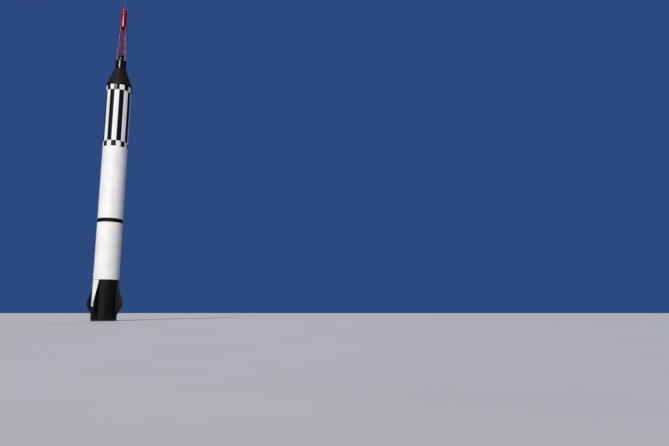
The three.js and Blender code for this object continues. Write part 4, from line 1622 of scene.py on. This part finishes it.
def make_tower_side(number, turn):
    """One frame of the tower: a leg with the rungs and diagonals of one side, welded and with gussets."""
    form = Form()
    after = turn + TURN / 3
    tube(form, [leg_point(turn, height) for height in spaced(TOWER_LOW, TOWER_HIGH, 8)], LEG_R, 24)
    for level, height in enumerate(RUNG_LEVELS):
        start, end = leg_point(turn, height), leg_point(after, height)
        tube(form, [start, end], RUNG_R)
        weld_sleeve(form, turn, height)
        if level < len(RUNG_LEVELS) - 1:
            gusset(form, start, end, leg_direction(turn, height))
            gusset(form, end, start, leg_direction(after, height))
            below, above = (turn, after) if level % 2 == 0 else (after, turn)
            tube(form, [leg_point(below, height), leg_point(above, RUNG_LEVELS[level + 1])], BRACE_R)
    leg_ends(form, turn)
    if number == CONDUIT_LEG:
        conduit(form, turn)
    form.piece(f"tower_side_{number}", ("red",), "red_paint", f"tower_frame_{number}")


def make_tower_ring():
    """The ring that clamps the tower to the capsule, with three bolted lugs."""
    form = Form()
    low, high = span("tower_base_ring")
    turned(form, [(RING_OUTER_R - 0.008, low), (RING_OUTER_R, low + 0.008), (RING_OUTER_R, high - 0.016),
                  (RING_OUTER_R - 0.016, high), (RING_INNER_R + 0.01, high), (RING_INNER_R, high - 0.01),
                  (RING_INNER_R, low)])
    ring_of(form, 30, (RING_INNER_R + RING_OUTER_R) / 2 + 0.03, high, 0.007, head=bolt, tilt=QUARTER,
            start=TURN / 60)
    for turn in turns(3, TURN / 6):
        lug = station(turn, RING_OUTER_R - 0.004, (low + high) / 2)
        slab(form, lug, (0.03, 0.12, 0.042), 0.005)
        for side in (-0.04, 0.04):
            fix(form, lug, (0.015, side, 0), (1, 0, 0), 0.009)
    form.piece("tower_ring_clamp", ("gloss",), "capsule_black", "tower_base_ring")


# Escape motor

CANT = math.radians(24)
BELL_TURNS = turns(3, math.radians(60))
BELL_ROOT = (0.128, 23.11)  # distance from the axis and height of the point that a bell leads out from
BELL_LENGTH = 0.35
MOTOR_SHOULDER = 0.16
MOTOR_CAP_R = 0.15
MOTOR_STRAPS = ((0.36, 0.035), (0.72, 0.06), (1.08, 0.035))  # height above the case's foot, width
SPIKE_ROD_R = 0.024


def make_motor_plate():
    """The forged plate on top of the tower that the motor and its bells are bolted to."""
    form = Form()
    low, high = span("motor_base_plate")
    outer = radius_of("motor_base_plate")
    turned(form, [(0, low), (outer - 0.03, low), (outer, low + 0.03), (outer, high - 0.008),
                  (outer - 0.008, high), (0, high)])
    ring_of(form, 24, outer - 0.014, high, 0.0065, 1, head=bolt, tilt=QUARTER)
    ring_of(form, 18, outer, (low + high) / 2 + 0.02, 0.008, 1)
    form.piece("motor_plate_forging", ("red", "steel"), "red_paint", "motor_base_plate")


def make_motor_case():
    """The motor's case: a tube with straps, a cable strip, two lugs and a domed shoulder."""
    form = Form()
    low, high = span("escape_motor")
    case_radius = steady(MOTOR_R)
    shoulder_z = high - MOTOR_SHOULDER
    dome = [
        (mix(MOTOR_CAP_R, MOTOR_R, 1 - share),
         mix(shoulder_z, high - 0.01, share) + 0.02 * math.sin(math.pi * share))
        for share in spaced(0, 1, 8)
    ]
    profile = [(0, low), (MOTOR_R + 0.006, low), (MOTOR_R + 0.006, low + 0.035), (MOTOR_R, low + 0.041)]
    profile += dome
    profile += [(MOTOR_CAP_R - 0.02, high - 0.01), (MOTOR_CAP_R - 0.03, high), (0, high)]
    turned(form, profile)
    for up, width in MOTOR_STRAPS:
        hoop(form, case_radius, low + up, width, 0.003, steps=SIDES)
    hoop(form, case_radius, shoulder_z - 0.02, 0.05, 0.007, steps=SIDES)
    ring_of(form, 24, MOTOR_R + 0.006, low + 0.018, 0.007, 1)
    ring_of(form, 24, MOTOR_R + 0.007, shoulder_z - 0.02, 0.007, 1)
    for turn in turns(2, 0.4):
        slab(form, station(turn, MOTOR_R + 0.002, shoulder_z - 0.12), (0.02, 0.07, 0.05), 0.004)
    upright(form, math.radians(160), low + 0.06, shoulder_z - 0.06, case_radius, 0.05, 0.014)
    form.piece("motor_case", ("red", "steel"), "red_paint", "escape_motor")


def make_escape_bell(number, turn):
    """A canted nozzle: dark steel bell, sooted inside, bolted to a red throat by a flange."""
    form = Form()
    place = station(turn, *BELL_ROOT) @ Matrix.Rotation(-CANT, 4, "Y")
    back = place.inverted()
    shares = spaced(0, 1, 8)
    flare = [(mix(0.046, 0.084, share ** 0.8), -mix(0.105, BELL_LENGTH, share)) for share in shares]
    inner = [(mix(0.03, 0.076, share ** 0.8), -mix(0.14, BELL_LENGTH, share)) for share in shares]

    def lining(point):
        local = back @ point
        middle_r = mix(0.036, 0.079, share_between(local.z, -0.12, -BELL_LENGTH))
        return 1 if math.hypot(local.x, local.y) < middle_r and local.z < -0.13 else 3

    turned(form, [(0, -0.14)] + inner + flare[::-1] + [(0.046, -0.095), (0, -0.095)], 40, lining, place)
    throat = [(0, -0.096), (0.046, -0.096), (0.046, -0.06), (0.052, -0.05), (0.052, -0.01), (0, -0.01)]
    turned(form, throat, 40, 0, place)
    turned(form, drum(0.045, 0.066, -0.112, -0.088), 40, 3, place)
    turned(form, drum(0.078, 0.087, -0.351, -0.335), 40, 3, place)
    for a in turns(8):
        fix(form, place @ Matrix.Rotation(a, 4, "Z"), (0.057, 0, -0.112), (0, 0, -1), 0.006, 2)
    form.piece(f"escape_bell_{number}", ("red", "soot", "steel", "dark_steel"),
               "red_paint", f"escape_nozzle_{number}")


def make_spike():
    """The spike on top: a bolted foot that runs out into a thin rod with two collars and a round tip."""
    form = Form()
    low, high = span("aerospike")
    rod = SPIKE_ROD_R
    shares = spaced(0, 1, 8)
    cone = [(mix(rod, 0.068, (1 - share) ** 2), low + 0.016 + 0.12 * share) for share in shares]
    tip = [(mix(0.002, rod, math.sqrt(1 - share ** 2)), high - 0.13 + 0.13 * share) for share in shares]
    turned(form, [(0, low), (0.075, low), (0.075, low + 0.012)] + cone + tip + [(0, high)], 32)
    for height in (low + 0.3, low + 0.5):
        collar = [(rod - 0.002, height - 0.012), (rod + 0.004, height - 0.009),
                  (rod + 0.004, height + 0.009), (rod - 0.002, height + 0.012)]
        turned(form, collar, 32)
    ring_of(form, 8, 0.071, low + 0.012, 0.005, tilt=QUARTER)
    form.piece("spike_turning", ("weathered",), "bare_steel", "aerospike")


# Operators, panel and registration

class ROCKET_OT_camera(bpy.types.Operator):
    """Put the camera where the rocket is seen from near the floor"""

    bl_idname = "rocket.camera"
    bl_label = "Camera"

    def execute(self, context):
        make_camera()
        return {"FINISHED"}


class ROCKET_OT_stage(bpy.types.Operator):
    """Lay the floor and set the light"""

    bl_idname = "rocket.stage"
    bl_label = "Floor and light"

    def execute(self, context):
        make_floor()
        make_light()
        return {"FINISHED"}


class ROCKET_OT_tanks(bpy.types.Operator):
    """Skin the two tanks and the ring between them"""

    bl_idname = "rocket.tanks"
    bl_label = "Tanks"

    def execute(self, context):
        tank_skin("lower_tank_skin", "lower_tank_section", 4, [(20, 3.35, 0.11), (-150, 3.35, 0.09)])
        tank_skin("upper_tank_skin", "upper_tank_section", 5, [(100, 7.85, 0.1), (-120, 12.7, 0.09)])
        make_joint_band()
        return {"FINISHED"}


class ROCKET_OT_compartment(bpy.types.Operator):
    """Skin the instrument compartment and the bands at its ends"""

    bl_idname = "rocket.compartment"
    bl_label = "Instrument compartment"

    def execute(self, context):
        make_compartment()
        return {"FINISHED"}


class ROCKET_OT_fittings(bpy.types.Operator):
    """Fit the cable tunnel and the junction box"""

    bl_idname = "rocket.fittings"
    bl_label = "Skin fittings"

    def execute(self, context):
        make_tunnel()
        make_junction_box()
        return {"FINISHED"}


class ROCKET_OT_tail(bpy.types.Operator):
    """Skin the tail skirt and its base ring"""

    bl_idname = "rocket.tail"
    bl_label = "Tail"

    def execute(self, context):
        make_tail_skirt()
        make_base_ring()
        return {"FINISHED"}


class ROCKET_OT_engine(bpy.types.Operator):
    """Build the nozzle, heat shield, vane ring and jet vanes"""

    bl_idname = "rocket.engine"
    bl_label = "Engine and vanes"

    def execute(self, context):
        make_bell()
        make_heat_shield()
        finish_engine_block()
        make_vane_ring()
        for number, turn in enumerate(FIN_TURNS, 1):
            make_vane(number, turn)
        return {"FINISHED"}


class ROCKET_OT_fins(bpy.types.Operator):
    """Skin the fins and the air rudders"""

    bl_idname = "rocket.fins"
    bl_label = "Fins and rudders"

    def execute(self, context):
        for number, turn in enumerate(FIN_TURNS, 1):
            make_fin(number, turn)
            make_rudder(number, turn)
        return {"FINISHED"}


class ROCKET_OT_capsule(bpy.types.Operator):
    """Build the clamp, cone, hatch, window, small fittings and recovery section"""

    bl_idname = "rocket.capsule"
    bl_label = "Capsule"

    def execute(self, context):
        make_clamp()
        make_cone()
        make_hatch()
        make_window()
        make_capsule_fittings()
        make_recovery()
        make_antenna_cover()
        return {"FINISHED"}


class ROCKET_OT_tower(bpy.types.Operator):
    """Build the escape tower on its ring"""

    bl_idname = "rocket.tower"
    bl_label = "Escape tower"

    def execute(self, context):
        for number, turn in enumerate(LEG_TURNS, 1):
            make_tower_side(number, turn)
        make_tower_ring()
        return {"FINISHED"}


class ROCKET_OT_motor(bpy.types.Operator):
    """Build the escape motor, its nozzles and the spike"""

    bl_idname = "rocket.motor"
    bl_label = "Escape motor"

    def execute(self, context):
        make_motor_plate()
        make_motor_case()
        for number, turn in enumerate(BELL_TURNS, 1):
            make_escape_bell(number, turn)
        make_spike()
        return {"FINISHED"}


STEPS = (
    ROCKET_OT_camera,
    ROCKET_OT_stage,
    ROCKET_OT_tanks,
    ROCKET_OT_compartment,
    ROCKET_OT_fittings,
    ROCKET_OT_tail,
    ROCKET_OT_engine,
    ROCKET_OT_fins,
    ROCKET_OT_capsule,
    ROCKET_OT_tower,
    ROCKET_OT_motor,
)


class ROCKET_PT_panel(bpy.types.Panel):
    """The rocket's steps and values"""

    bl_idname = "ROCKET_PT_panel"
    bl_label = "Rocket"
    bl_space_type = "VIEW_3D"
    bl_region_type = "UI"
    bl_category = "Rocket"

    def draw(self, context):
        for step in STEPS:
            self.layout.operator(step.bl_idname)
        for group in (context.scene.rocket_sizes, context.scene.rocket_colours):
            for name in group.bl_rna.properties.keys():
                if name not in ("rna_type", "name"):
                    self.layout.prop(group, name)


CLASSES = (RocketSizes, RocketColours, *STEPS, ROCKET_PT_panel)


def register():
    for item in CLASSES:
        bpy.utils.register_class(item)
    bpy.types.Scene.rocket_sizes = PointerProperty(type=RocketSizes)
    bpy.types.Scene.rocket_colours = PointerProperty(type=RocketColours)


def unregister():
    del bpy.types.Scene.rocket_colours
    del bpy.types.Scene.rocket_sizes
    for item in reversed(CLASSES):
        bpy.utils.unregister_class(item)


def main():
    """Builds the whole rocket."""
    register()
    for step in STEPS:
        group, name = step.bl_idname.split(".")
        getattr(getattr(bpy.ops, group), name)()


if __name__ == "__main__":
    main()
